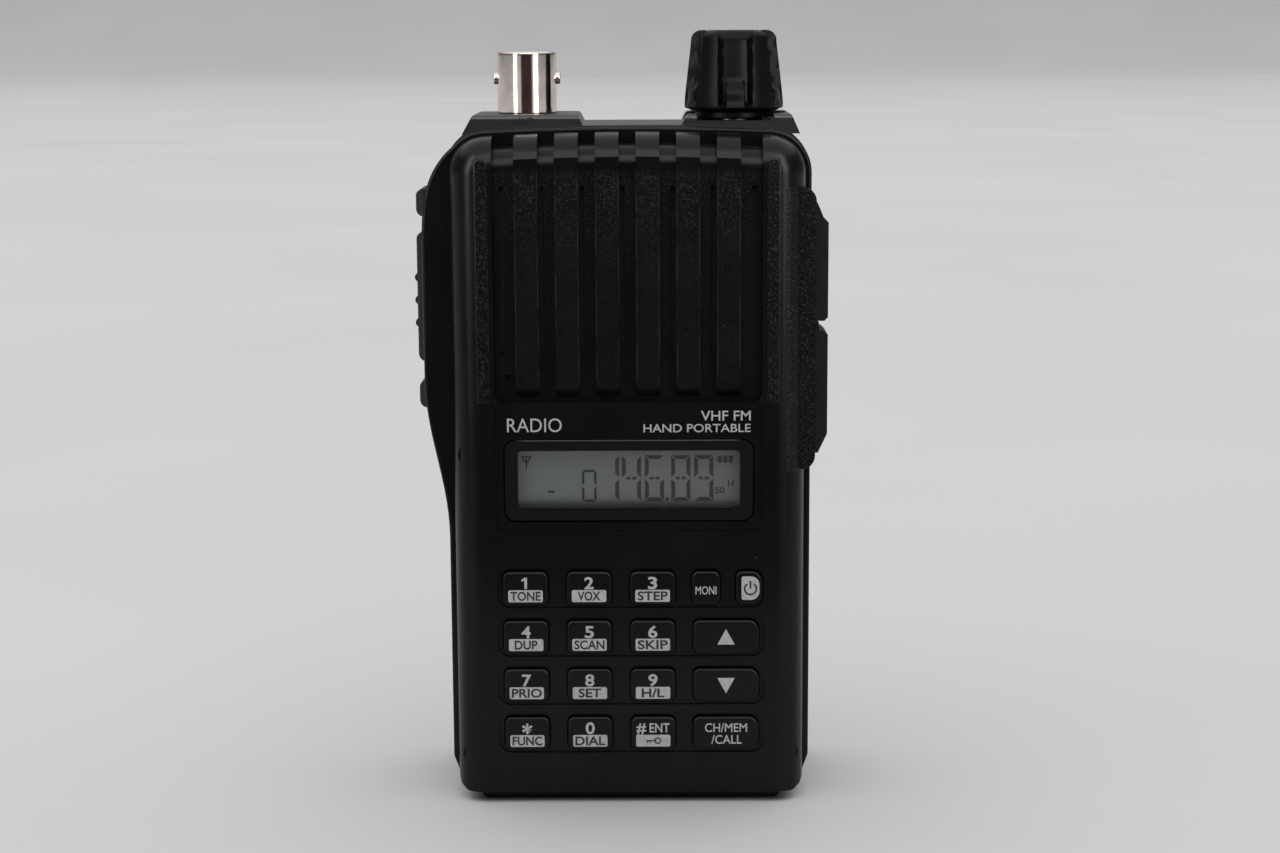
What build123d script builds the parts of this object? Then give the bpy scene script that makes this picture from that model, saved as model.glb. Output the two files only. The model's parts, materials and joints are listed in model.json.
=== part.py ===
from build123d import *
import os

os.makedirs("parts", exist_ok=True)

# Handheld two-way radio. Millimetres. X is to the right of someone facing the radio, Y goes
# back through it from the front panel to the battery, and Z is up. The origin is the middle
# of the base that it stands on.

# ---- driving dimensions -------------------------------------------------------------------
case_half = 29.5            # half width of the case below the grip wing
case_front = -15.25         # front face of the panel
case_back = 15.25           # back face of the battery and chassis
case_top = 110.2            # top edge of the front panel at its middle
case_shoulder = 109.3       # top edge of the front panel where its corners start
chassis_top = 110.4
base_gap = 1.7              # the case ends this far above the base lip

core_half = 28.45           # the raised front of the panel stands inside a narrow rim
core_round = 4.8            # round shoulder between the front face and the rim
core_corner = 6.0
rim_front = -9.4            # front face of the rim
rim_side = 0.95             # the side wall behind the rim is set in by this much
rim_back = -8.0
wing_reach = 33.15          # the grip wing on the left, under the push-to-talk button
wing_low = 43.0
wing_full = 70.0
wing_turn = 92.5

wall = 1.65                 # front wall of the panel
cavity_half = 27.7
cavity_front_half = 25.2    # the hollow is narrower inside the round shoulders
cavity_step = -11.5
cavity_low = 3.5
cavity_top = 105.0
split_top = -8.5            # the chassis top meets the panel here
split_side = 3.0            # the panel's sides end here

grille_half = 21.45
grille_low = 66.6
grille_over = 112.0         # the grille's grooves run over the top edge, as far as the rim
grille_depth = 2.1
grille_floor = 1.2          # thickness of the grille's floor
rib_width = 3.75
rib_pitch = 6.43
rib_count = 6
rib_low = 67.4
slot_width = 0.75

display_z = 53.85           # middle height of the display window
lens_size = (40.3, 13.5)
lens_thickness = 1.0
lens_front = case_front + 0.5
window_size = (35.9, 9.7)
plate_depth = 0.25          # the name strip and window stand this far below the face
plate_low = 45.5

key_height = 5.6
key_front = case_front - 0.5
key_gap = 0.17
key_travel = 0.8
key_rows = [36.2, 28.05, 19.95, 11.85]
key_columns = [-16.85, -6.55, 3.75]
key_width = 7.35
wide_key = (15.65, 10.75)   # middle and width of the three keys in the last column
monitor_key = (12.4, 4.6)
power_key = (19.35, 4.3)
trough_size = (43.3, 6.7)
trough_depth = 0.45
flange_front = case_front + wall + 0.1
flange_back = flange_front + 0.6
mat_front = flange_back + key_travel + 0.1
mat_thickness = 1.0
board_front = -9.6
board_back = board_front + 1.0
board_half = 23.2
dome_top = board_front - 0.45

speaker_z = 86.4
speaker_radius = 17.8
grille_back = case_front + grille_depth + grille_floor

ptt_z = (72.3, 93.4)
ptt_out = 34.3
upper_z = (95.9, 100.3)
lower_z = (64.7, 69.1)
side_button_y = (-7.3, 1.3)
button_gap = 0.15

cover_z = (56.9, 97.8)      # jack cover on the right side
cover_out = 32.4
cover_seat = 28.6           # the case wall under the jack cover
cover_y = (-7.3, 1.5)
notch_z = 77.8
notch_half = 0.85
jack_y = -4.3
jack_x = (18.2, 28.5)
speaker_jack_z = 91.0
microphone_jack_z = 83.4
speaker_jack_bore = 1.8
microphone_jack_bore = 1.3

plate_front = -0.8          # the chassis plate behind the boards
plate_back = 2.9
shoulder_low = 96.2         # underside of the chassis shoulder, above the battery
screw_x = 25.5
screw_zs = [8.0, 58.0]

antenna = (-16.4, 1.0)      # X and Y of the antenna socket
boss_top = 112.1
socket_radius = 4.83
socket_top = 121.9
socket_bore = 4.1
lug_z = 117.7
lug_span = 10.95
relief_height = 0.6
knob = (17.3, 0.0)          # X and Y of the volume knob
knob_low = 112.4
knob_top = 125.3
knob_radius = 8.03
knob_top_radius = 6.85
knob_neck = 6.35
dish_radius = 8.6
dish_floor = 111.0
shaft_radius = 3.0

pack_half = 28.6
pack_front = 3.1
pack_top = 95.8
pack_wall = 1.6
cover_thickness = 1.4
rail_x = 18.0
rail_neck = 1.6
rail_wide = 2.6
rail_depth = 1.7
rail_gap = 0.2
rail_tongues = [(24.0, 34.0), (79.0, 90.0)]
pack_travel = 12.0

catch_half = 6.0
catch_z = (6.4, 16.6)
catch_slope = 0.15
catch_gap = 0.2

clip_top = 104.5
clip_low = 52.0
clip_half = 9.0
clip_front = 20.2           # inner face of the lever, away from the battery
clip_thickness = 1.8
clip_pin_z = 97.5
clip_pin_y = 18.6


# ---- shared helpers -----------------------------------------------------------------------
def block(x_range, y_range, z_range, mode=Mode.ADD):
    """A box between three pairs of limits."""
    centre = [(pair[0] + pair[1]) / 2 for pair in (x_range, y_range, z_range)]
    size = [pair[1] - pair[0] for pair in (x_range, y_range, z_range)]
    with Locations(tuple(centre)):
        Box(*size, mode=mode)


def rod_y(x, z, radius, y_range, mode=Mode.ADD):
    """A cylinder lying along Y."""
    middle = (y_range[0] + y_range[1]) / 2
    with Locations(Location((x, middle, z), (90, 0, 0))):
        Cylinder(radius, y_range[1] - y_range[0], mode=mode)


def rod_x(y, z, radius, x_range, mode=Mode.ADD):
    """A cylinder lying along X."""
    middle = (x_range[0] + x_range[1]) / 2
    with Locations(Location((middle, y, z), (0, 90, 0))):
        Cylinder(radius, x_range[1] - x_range[0], mode=mode)


def rod_z(x, y, radius, z_range, mode=Mode.ADD):
    """A cylinder standing along Z."""
    with Locations((x, y, (z_range[0] + z_range[1]) / 2)):
        Cylinder(radius, z_range[1] - z_range[0], mode=mode)


def front_plane(y):
    """The plane that faces the user at depth y, with its local axes along X and Z."""
    return Plane.XZ.offset(-y)


def rounded_pad(x, z, size, radius, y_range, mode=Mode.ADD):
    """A rounded rectangle seen from the front, from the first depth to the second."""
    with BuildSketch(front_plane(y_range[0])) as outline:
        with Locations((x, z)):
            RectangleRounded(size[0], size[1], radius)
    extrude(outline.sketch, amount=-(y_range[1] - y_range[0]), mode=mode)


def case_outline(y, half, low, top, shoulder, corner, depth, mode=Mode.ADD):
    """The case seen from the front: straight sides and a slightly arched top."""
    with BuildSketch(front_plane(y)) as outline:
        with BuildLine():
            Polyline((-half, shoulder), (-half, low), (half, low), (half, shoulder))
            ThreePointArc((half, shoulder), (0, top), (-half, shoulder))
        make_face()
        fillet(outline.vertices().group_by(Axis.Y)[-1], corner)
    extrude(outline.sketch, amount=-depth, mode=mode)


def wing_outline(y, depth, inset, mode=Mode.ADD):
    """The grip wing that flares out of the left side and runs round the upper corner."""
    reach = wing_reach - inset
    side = case_half - inset
    with BuildSketch(front_plane(y)) as outline:
        with BuildLine():
            Spline((-side, wing_low), (-reach, wing_full), tangents=[(0, 1), (0, 1)])
            Line((-reach, wing_full), (-reach, wing_turn))
            Spline((-reach, wing_turn), (-30.2 + 0.8 * inset, 104.8 - 0.6 * inset),
                   (-21.0, 109.72 - inset), tangents=[(0, 1), (1, 0.06)])
            Polyline((-21.0, 109.72 - inset), (-21.0, wing_low), (-side, wing_low))
        make_face()
    extrude(outline.sketch, amount=-depth, mode=mode)


# ---- keys: name, middle X, middle Z, width ------------------------------------------------
key_names = [["key_1", "key_2", "key_3"], ["key_4", "key_5", "key_6"],
             ["key_7", "key_8", "key_9"], ["key_star", "key_0", "key_hash"]]
keys = []
for names, row_z in zip(key_names, key_rows):
    for key_name, column_x in zip(names, key_columns):
        keys.append((key_name, column_x, row_z, key_width))
keys.append(("key_monitor", monitor_key[0], key_rows[0], monitor_key[1]))
keys.append(("key_power", power_key[0], key_rows[0], power_key[1]))
for key_name, row_z in zip(["key_up", "key_down", "key_call"], key_rows[1:]):
    keys.append((key_name, wide_key[0], row_z, wide_key[1]))

key_round = 1.1
key_round_outer = 1.7


def key_face(x, z, width, grow, y, depth, mode=Mode.ADD):
    """One key's outline, grown all round, with rounder outer corners in the last column."""
    with BuildSketch(front_plane(y)) as outline:
        with Locations((x, z)):
            Rectangle(width + 2 * grow, key_height + 2 * grow)
        fillet(outline.vertices().group_by(Axis.X)[0], key_round + grow)
        outer_round = key_round_outer if x + width / 2 > 20 else key_round
        fillet(outline.vertices().group_by(Axis.X)[-1], outer_round + grow)
    extrude(outline.sketch, amount=-depth, mode=mode)


# ---- front panel --------------------------------------------------------------------------
with BuildPart() as core:
    # raised front with round shoulders, left long at the bottom so that they run off the end
    case_outline(case_front, core_half, -12, case_top - 0.7, case_shoulder - 0.75,
                 core_corner, rim_front + 1.0 - case_front)
    front_edges = core.faces().sort_by(Axis.Y)[0].edges().filter_by(
        lambda edge: edge.center().Z > -11)
    fillet(front_edges, core_round)

with BuildPart() as core_inside:
    # the same form set in by the depth of the grille
    case_outline(case_front + grille_depth, core_half - 2, -12, case_top - 2.6,
                 case_shoulder - 2.65, core_corner - 2, rim_front + 1.0 - case_front)
    front_edges = core_inside.faces().sort_by(Axis.Y)[0].edges().filter_by(
        lambda edge: edge.center().Z > -11)
    fillet(front_edges, core_round - 1.6)

with BuildPart() as grille_well:
    # the space of the grille between the face and its floor
    with BuildSketch(front_plane(case_front - 1)) as opening:
        with Locations((0, (grille_low + grille_over) / 2)):
            Rectangle(2 * grille_half, grille_over - grille_low)
        fillet(opening.vertices().group_by(Axis.Y)[0], 1.4)
    extrude(amount=-(rim_front - case_front + 1))
    add(core_inside.part, mode=Mode.SUBTRACT)

with BuildPart() as grille_ribs:
    # six upright ribs that follow the face over the top edge
    for rib in range(rib_count):
        rib_x = (rib - (rib_count - 1) / 2) * rib_pitch
        block((rib_x - rib_width / 2, rib_x + rib_width / 2),
              (case_front + 0.12, rim_front + 0.5), (rib_low, grille_over))
    low_edges = grille_ribs.edges().filter_by(Axis.X).group_by(Axis.Z)[0]
    chamfer(low_edges.group_by(Axis.Y)[0], 1.5)
    add(core.part, mode=Mode.INTERSECT)
    block((-40, 40), (grille_back - 0.4, 0), (0, cavity_top + 0.5), mode=Mode.SUBTRACT)

with BuildPart() as front_panel:
    # rim all round with the grip wing, then the raised core
    case_outline(rim_front, case_half, base_gap, case_top, case_shoulder, core_corner + 0.9,
                 rim_back - rim_front)
    wing_outline(rim_front, rim_back - rim_front, 0)
    rim_edges = front_panel.faces().sort_by(Axis.Y)[0].edges()
    fillet(rim_edges, 0.45)
    # side walls behind the rim
    case_outline(rim_back - 0.1, case_half - 0.25, base_gap, case_top - 0.3,
                 case_shoulder - 0.3, core_corner + 0.7, split_side - rim_back + 0.1)
    wing_outline(rim_back - 0.1, split_side - rim_back + 0.1, rim_side)
    add(core.part)
    # ridges beside the grille and the textured grip pad on the right
    for side in (-1, 1):
        rounded_pad(side * 23.15, 86.0, (1.7, 38.5), 0.8, (case_front - 0.28, case_front + 0.6))
    rounded_pad(27.6, 78.0, (4.9, 45.4), 2.2, (case_front + 1.9, rim_front))
    # the case ends above the base lip, with sloped bottom corners
    block((-40, 40), (-20, 20), (-15, base_gap), mode=Mode.SUBTRACT)
    with BuildSketch(front_plane(-20)):
        for side in (-1, 1):
            with BuildLine():
                Polyline((side * 24.9, 0.5), (side * 28.0, 2.5), (side * 29.6, 6.6),
                         (side * 34.0, 6.6), (side * 34.0, 0.5), (side * 24.9, 0.5))
            make_face()
    extrude(amount=-40, mode=Mode.SUBTRACT)
    # hollow for the speaker, boards and keys
    block((-cavity_front_half, cavity_front_half), (case_front + wall, cavity_step + 0.1),
          (cavity_low, cavity_top), mode=Mode.SUBTRACT)
    block((-cavity_half, cavity_half), (cavity_step, split_side + 1),
          (cavity_low, cavity_top), mode=Mode.SUBTRACT)
    block((-40, 40), (split_top, 20), (cavity_top, 120), mode=Mode.SUBTRACT)
    # base lip
    block((-24.6, 24.6), (case_front + 2.4, split_side - 0.1), (0, base_gap + 0.1))
    lip_ends = front_panel.edges().filter_by(Axis.Y).group_by(Axis.Z)[0]
    fillet(lip_ends, 1.2)
    # thicker wall behind the grille and the window
    block((-22.6, 22.6), (case_front + wall - 0.1, grille_back), (65.4, cavity_top + 0.1))
    block((-22.6, 22.6), (case_front + wall - 0.1, case_front + 2.65), (44.4, 65.5))
    # grille
    add(grille_well.part, mode=Mode.SUBTRACT)
    add(grille_ribs.part)
    for groove in range(rib_count + 1):
        groove_x = (groove - rib_count / 2) * rib_pitch
        outward = -1 if groove_x <= 0 else 1
        slot_x = groove_x + outward * 0.8
        rounded_pad(slot_x, 87.6, (slot_width, 27.0), 0.3, (case_front + 1.5, grille_back + 0.3),
                    mode=Mode.SUBTRACT)
    rounded_pad(-19.3, 69.9, (1.0, 2.0), 0.4, (case_front + 1.5, grille_back + 0.3),
                mode=Mode.SUBTRACT)
    # name strip, window seat and window
    rounded_pad(0, (plate_low + grille_low) / 2, (2 * grille_half, grille_low - plate_low), 1.4,
                (case_front - 1, case_front + plate_depth), mode=Mode.SUBTRACT)
    rounded_pad(0, display_z, (lens_size[0] + 0.1, lens_size[1] + 0.1), 1.95,
                (case_front - 1, lens_front + lens_thickness), mode=Mode.SUBTRACT)
    rounded_pad(0, display_z, window_size, 0.8, (case_front, -12), mode=Mode.SUBTRACT)
    # keypad troughs and key holes
    for row_z in key_rows:
        rounded_pad(0.2, row_z, trough_size, 2.0, (case_front - 1, case_front + trough_depth),
                    mode=Mode.SUBTRACT)
    for key_name, key_x, key_z, width in keys:
        key_face(key_x, key_z, width, key_gap, case_front - 1, 4, mode=Mode.SUBTRACT)
    # screw posts
    for post_x in (-screw_x, screw_x):
        for post_z in screw_zs:
            rod_y(post_x, post_z, 2.1, (case_front + wall - 0.1, plate_front - 0.05))
            rod_y(post_x, post_z, 0.95, (-8.0, plate_front), mode=Mode.SUBTRACT)
    # openings for the push-to-talk button and the two side buttons
    for low, high in (ptt_z, upper_z, lower_z):
        block((-36, -29.6), (side_button_y[0] - button_gap, side_button_y[1] + button_gap),
              (low - button_gap, high + button_gap), mode=Mode.SUBTRACT)
        block((-29.7, -27), (side_button_y[0] - 0.65, side_button_y[1] + 0.65),
              (low - 0.65, high + 0.65), mode=Mode.SUBTRACT)
    # seat of the jack cover and the two jack holes
    block((cover_seat, 32), (cover_y[0] - 0.2, split_side + 1),
          (cover_z[0] - 0.3, cover_z[1] + 0.3), mode=Mode.SUBTRACT)
    rod_x(jack_y, speaker_jack_z, 2.9, (26, 32), mode=Mode.SUBTRACT)
    rod_x(jack_y, microphone_jack_z, 2.4, (26, 32), mode=Mode.SUBTRACT)
    rod_x(-2.9, 66.0, 1.0, (26, 32), mode=Mode.SUBTRACT)
front_panel.part.label = "front_panel"
export_step(front_panel.part, "parts/front_panel.step")


# ---- rear chassis -------------------------------------------------------------------------
def boss(x_low, x_high, foot_low, foot_high, y_range):
    """A raised boss on the chassis top with sloped ends."""
    with BuildSketch(front_plane(y_range[0])) as outline:
        with BuildLine():
            Polyline((foot_low, chassis_top - 1.5), (foot_high, chassis_top - 1.5),
                     (x_high, boss_top), (x_low, boss_top), (foot_low, chassis_top - 1.5))
        make_face()
    extrude(outline.sketch, amount=-(y_range[1] - y_range[0]))


with BuildPart() as rear_chassis:
    # top and shoulder that close the case behind the front panel
    case_outline(split_top + 0.05, case_half - 0.3, shoulder_low, chassis_top,
                 chassis_top - 0.25, core_corner + 0.9, case_back - split_top - 0.05)
    back_edges = rear_chassis.faces().sort_by(Axis.Y)[-1].edges().filter_by(
        lambda edge: edge.center().Z > shoulder_low + 1)
    fillet(back_edges, 1.8)
    block((-40, 40), (-20, split_side + 0.05), (90, cavity_top + 0.05), mode=Mode.SUBTRACT)
    # bosses round the antenna socket and the knob
    boss(-24.8, -8.0, -26.6, -6.4, (-7.2, 8.6))
    boss(9.6, 26.3, 8.0, 27.7, (-7.2, 8.8))
    boss_edges = rear_chassis.faces().filter_by(Plane.XY).group_by(Axis.Z)[-1].edges()
    fillet(boss_edges, 0.8)
    rod_z(*knob, dish_radius, (dish_floor, boss_top + 1), mode=Mode.SUBTRACT)
    block((knob[0] - 6.2, knob[0] + 6.2), (-12, knob[1]), (dish_floor, boss_top + 1),
          mode=Mode.SUBTRACT)
    # hollow under the top for the volume control and the antenna socket
    block((-27, 27), (split_top - 1, 12.9), (99.2, 107.9), mode=Mode.SUBTRACT)
    # plate behind the boards
    block((-cavity_half + 0.25, cavity_half - 0.25), (plate_front, plate_back),
          (cavity_low + 0.2, 99.3))
    block((-cavity_half + 0.25, cavity_half - 0.25), (plate_front, split_side + 0.2),
          (shoulder_low, 99.3))
    # holes for the antenna socket and the volume control
    rod_z(*antenna, 4.6, (105, 115), mode=Mode.SUBTRACT)
    rod_z(*knob, 3.6, (105, 115), mode=Mode.SUBTRACT)
    # grooves that the battery tongues slide in, with windows where they drop in
    for rail_side in (-rail_x, rail_x):
        with BuildSketch(Plane.XY.offset(rail_tongues[0][0] - pack_travel - 1)):
            with BuildLine():
                Polyline((rail_side - rail_neck - rail_gap, plate_back + 1),
                         (rail_side - rail_neck - rail_gap, plate_back - 0.2),
                         (rail_side - rail_wide - rail_gap, plate_back - rail_depth + 0.1),
                         (rail_side - rail_wide - rail_gap, plate_back - rail_depth - 0.4),
                         (rail_side + rail_wide + rail_gap, plate_back - rail_depth - 0.4),
                         (rail_side + rail_wide + rail_gap, plate_back - rail_depth + 0.1),
                         (rail_side + rail_neck + rail_gap, plate_back - 0.2),
                         (rail_side + rail_neck + rail_gap, plate_back + 1),
                         (rail_side - rail_neck - rail_gap, plate_back + 1))
            make_face()
        groove_length = rail_tongues[1][1] - rail_tongues[0][0] + pack_travel + 1.5
        extrude(amount=groove_length, mode=Mode.SUBTRACT)
        for tongue_low, tongue_high in rail_tongues:
            block((rail_side - rail_wide - rail_gap, rail_side + rail_wide + rail_gap),
                  (plate_back - rail_depth - 0.4, plate_back + 1),
                  (tongue_low - pack_travel - 1, tongue_high - pack_travel + 0.4),
                  mode=Mode.SUBTRACT)
    # pocket of the battery catch, holes for the screws and for the contact pins
    block((-catch_half - 0.1, catch_half + 0.1), (plate_front - 1, plate_back + 1),
          (catch_z[0] - 0.1, catch_z[1] + 0.1), mode=Mode.SUBTRACT)
    for post_x in (-screw_x, screw_x):
        for post_z in screw_zs:
            rod_y(post_x, post_z, 1.05, (plate_front - 1, plate_back + 1), mode=Mode.SUBTRACT)
            rod_y(post_x, post_z, 1.9, (plate_back - 1.4, plate_back + 1), mode=Mode.SUBTRACT)
    for contact in range(4):
        rod_y(-9.0 + 6.0 * contact, 46.0, 1.1, (plate_front - 1, plate_back + 1),
              mode=Mode.SUBTRACT)
    for screw_side in (-5.5, 5.5):
        rod_y(screw_side, 103.5, 1.25, (12, 17), mode=Mode.SUBTRACT)
rear_chassis.part.label = "rear_chassis"
export_step(rear_chassis.part, "parts/rear_chassis.step")

with BuildPart() as case_gasket:
    # rubber seal round the edge of the chassis plate
    block((-cavity_half + 0.3, cavity_half - 0.3), (plate_front - 0.35, plate_front - 0.02),
          (cavity_low + 0.25, 95.0))
    block((-cavity_half + 1.5, cavity_half - 1.5), (-2, 0), (cavity_low + 1.45, 93.8),
          mode=Mode.SUBTRACT)
    for post_x in (-screw_x, screw_x):
        for post_z in screw_zs:
            rod_y(post_x, post_z, 2.25, (-2, 0), mode=Mode.SUBTRACT)
case_gasket.part.label = "case_gasket"
export_step(case_gasket.part, "parts/case_gasket.step")

with BuildPart() as case_screws:
    # four screws from the battery side into the panel's posts
    for post_x in (-screw_x, screw_x):
        for post_z in screw_zs:
            rod_y(post_x, post_z, 1.75, (plate_back - 1.4, plate_back - 0.1))
            rod_y(post_x, post_z, 0.93, (-7.0, plate_back - 1.3))
            rod_y(post_x, post_z, 0.5, (plate_back - 0.8, plate_back), mode=Mode.SUBTRACT)
case_screws.part.label = "case_screws"
export_step(case_screws.part, "parts/case_screws.step")

# ---- speaker and microphone ---------------------------------------------------------------
with BuildPart() as speaker_mesh:
    block((-21.5, 21.5), (grille_back + 0.02, grille_back + 0.27), (67.0, 104.6))
speaker_mesh.part.label = "speaker_mesh"
export_step(speaker_mesh.part, "parts/speaker_mesh.step")

speaker_y = grille_back + 0.35      # front of the speaker's rim

with BuildPart() as speaker_frame:
    # pressed steel basket: a cup with a rim at the front and the magnet seat at the back
    with BuildSketch(Plane.YZ):
        with BuildLine():
            Polyline((speaker_y, speaker_radius), (speaker_y, speaker_radius - 1.6),
                     (speaker_y + 0.7, speaker_radius - 2.2), (speaker_y + 3.0, 8.2),
                     (speaker_y + 3.0, 0), (speaker_y + 3.6, 0), (speaker_y + 3.6, 8.6),
                     (speaker_y + 1.4, speaker_radius - 1.2), (speaker_y + 1.4, speaker_radius),
                     (speaker_y, speaker_radius))
        make_face()
    revolve(axis=Axis.Y)
with BuildPart() as speaker_cone:
    with BuildSketch(Plane.YZ):
        with BuildLine():
            Polyline((speaker_y + 0.25, speaker_radius - 2.3), (speaker_y + 1.9, 6.5),
                     (speaker_y + 0.9, 3.0), (speaker_y + 0.7, 0), (speaker_y + 1.0, 0),
                     (speaker_y + 1.2, 3.0), (speaker_y + 2.35, 6.6),
                     (speaker_y + 0.6, speaker_radius - 2.3),
                     (speaker_y + 0.25, speaker_radius - 2.3))
        make_face()
    revolve(axis=Axis.Y)
with BuildPart() as speaker_magnet:
    rod_y(0, 0, 7.6, (speaker_y + 3.6, speaker_y + 5.6))
    chamfer(speaker_magnet.faces().sort_by(Axis.Y)[-1].edges(), 0.4)
for speaker_piece, speaker_label in ((speaker_frame, "speaker_frame"),
                                     (speaker_cone, "speaker_cone"),
                                     (speaker_magnet, "speaker_magnet")):
    speaker_piece.part = speaker_piece.part.moved(Location((0, 0, speaker_z)))
    speaker_piece.part.label = speaker_label
    export_step(speaker_piece.part, f"parts/{speaker_label}.step")

with BuildPart() as microphone:
    # electret capsule in its rubber boot, behind the hole in the grille floor
    rod_y(-23.0, 69.9, 3.4, (-11.2, -8.4))
    block((-21.6, -18.3), (grille_back + 0.3, -10.4), (68.9, 71.2))
microphone.part.label = "microphone"
export_step(microphone.part, "parts/microphone.step")

# ---- display ------------------------------------------------------------------------------
with BuildPart() as lcd_lens:
    rounded_pad(0, display_z, lens_size, 1.9, (lens_front, lens_front + lens_thickness))
    chamfer(lcd_lens.faces().sort_by(Axis.Y)[0].edges(), 0.2)
lcd_lens.part.label = "lcd_lens"
export_step(lcd_lens.part, "parts/lcd_lens.step")

with BuildPart() as lcd_module:
    # display glass bonded to its light guide
    block((-20.0, 20.0), (-12.5, -10.9), (46.4, 61.6))
    block((-19.2, 19.2), (-10.95, -9.7), (47.0, 61.0))
lcd_module.part.label = "lcd_module"
export_step(lcd_module.part, "parts/lcd_module.step")

# ---- keypad -------------------------------------------------------------------------------
stem_radius = 1.1
stem_reach = dome_top - 0.05 - key_travel

for key_name, key_x, key_z, width in keys:
    with BuildPart() as key_cap:
        key_face(key_x, key_z, width, 0, key_front, flange_front - key_front + 0.1)
        face_edges = key_cap.faces().sort_by(Axis.Y)[0].edges()
        fillet(face_edges, 0.4)
        key_face(key_x, key_z, width, 0.55, flange_front, flange_back - flange_front)
        rod_y(key_x, key_z, stem_radius, (flange_back - 0.1, stem_reach))
    key_cap.part.label = key_name
    export_step(key_cap.part, f"parts/{key_name}.step")

with BuildPart() as keypad_mat:
    # silicone sheet with a rim that bears on the board, and a hole for each key stem
    block((-board_half, board_half), (mat_front, board_front - 0.16), (6.6, 42.0))
    block((-board_half + 1.2, board_half - 1.2), (mat_front + mat_thickness, -9), (7.8, 40.8),
          mode=Mode.SUBTRACT)
    for key_name, key_x, key_z, width in keys:
        rod_y(key_x, key_z, stem_radius + 0.3, (mat_front - 1, -9), mode=Mode.SUBTRACT)
keypad_mat.part.label = "keypad_mat"
export_step(keypad_mat.part, "parts/keypad_mat.step")

with BuildPart() as dome_sheet:
    # film with a snap dome under each key
    block((-21.8, 21.8), (board_front - 0.15, board_front), (8.0, 40.6))
    for key_name, key_x, key_z, width in keys:
        with BuildSketch(front_plane(board_front - 0.1)) as dome_foot:
            with Locations((key_x, key_z)):
                Circle(1.9)
        extrude(dome_foot.sketch, amount=board_front - 0.1 - dome_top, taper=40)
dome_sheet.part.label = "dome_sheet"
export_step(dome_sheet.part, "parts/dome_sheet.step")

with BuildPart() as keypad_board:
    block((-board_half, board_half), (board_front, board_back), (6.6, 64.4))
keypad_board.part.label = "keypad_board"
export_step(keypad_board.part, "parts/keypad_board.step")

# ---- radio board --------------------------------------------------------------------------
with BuildPart() as main_board:
    block((-22.0, 17.4), (-2.2, -1.2), (18.5, 94.0))
    block((16.8, 22.8), (-2.2, -1.2), (18.5, 76.0))
    for chip_x, chip_z, chip_w, chip_h in ((-12, 84, 9, 9), (4, 88, 7, 5), (8, 73, 6, 8)):
        block((chip_x - chip_w / 2, chip_x + chip_w / 2), (-3.3, -2.15),
              (chip_z - chip_h / 2, chip_z + chip_h / 2))
main_board.part.label = "main_board"
export_step(main_board.part, "parts/main_board.step")

with BuildPart() as board_shield:
    # folded can over the transmitter
    block((-20, 16), (-6.4, -2.25), (21, 62))
    block((-19.7, 15.7), (-6.1, -2), (21.3, 61.7), mode=Mode.SUBTRACT)
board_shield.part.label = "board_shield"
export_step(board_shield.part, "parts/board_shield.step")

# ---- antenna socket -----------------------------------------------------------------------
socket_seat = boss_top + 0.05

with BuildPart() as antenna_shell:
    # bayonet barrel with two lugs, on a threaded bush through the chassis top
    rod_z(*antenna, socket_radius, (socket_seat, socket_top))
    chamfer(antenna_shell.faces().sort_by(Axis.Z)[-1].edges(), 0.25)
    rod_z(*antenna, 4.5, (102.6, socket_seat + 0.1))
    rod_x(antenna[1], lug_z, 1.0, (antenna[0] - lug_span / 2, antenna[0] + lug_span / 2))
    rod_z(*antenna, socket_bore, (socket_top - 8.9, socket_top + 1), mode=Mode.SUBTRACT)
    # shallow relief above the lugs, which sets off the band that a plug's sleeve runs on
    with BuildSketch(Plane.XY.offset(lug_z + 1.05)):
        with Locations(antenna):
            Circle(socket_radius + 0.5)
            Circle(socket_radius - 0.2, mode=Mode.SUBTRACT)
    extrude(amount=relief_height, mode=Mode.SUBTRACT)
    rod_z(*antenna, 2.9, (100, socket_top), mode=Mode.SUBTRACT)
antenna_shell.part.label = "antenna_shell"
export_step(antenna_shell.part, "parts/antenna_shell.step")

with BuildPart() as antenna_insulator:
    rod_z(*antenna, 2.85, (102.2, socket_top - 8.9))
    rod_z(*antenna, 2.4, (socket_top - 9.0, socket_top - 3.7))
    rod_z(*antenna, 0.72, (100, socket_top), mode=Mode.SUBTRACT)
antenna_insulator.part.label = "antenna_insulator"
export_step(antenna_insulator.part, "parts/antenna_insulator.step")

with BuildPart() as antenna_contact:
    rod_z(*antenna, 0.68, (100.4, socket_top - 3.9))
    rod_z(*antenna, 0.42, (socket_top - 7.5, socket_top), mode=Mode.SUBTRACT)
antenna_contact.part.label = "antenna_contact"
export_step(antenna_contact.part, "parts/antenna_contact.step")

with BuildPart() as antenna_nut:
    with BuildSketch(Plane.XY.offset(105.6)):
        with Locations(antenna):
            RegularPolygon(6.4, 6)
            Circle(4.55, mode=Mode.SUBTRACT)
    extrude(amount=2.2)
antenna_nut.part.label = "antenna_nut"
export_step(antenna_nut.part, "parts/antenna_nut.step")

# ---- volume control -----------------------------------------------------------------------
flute_count = 5

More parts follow.
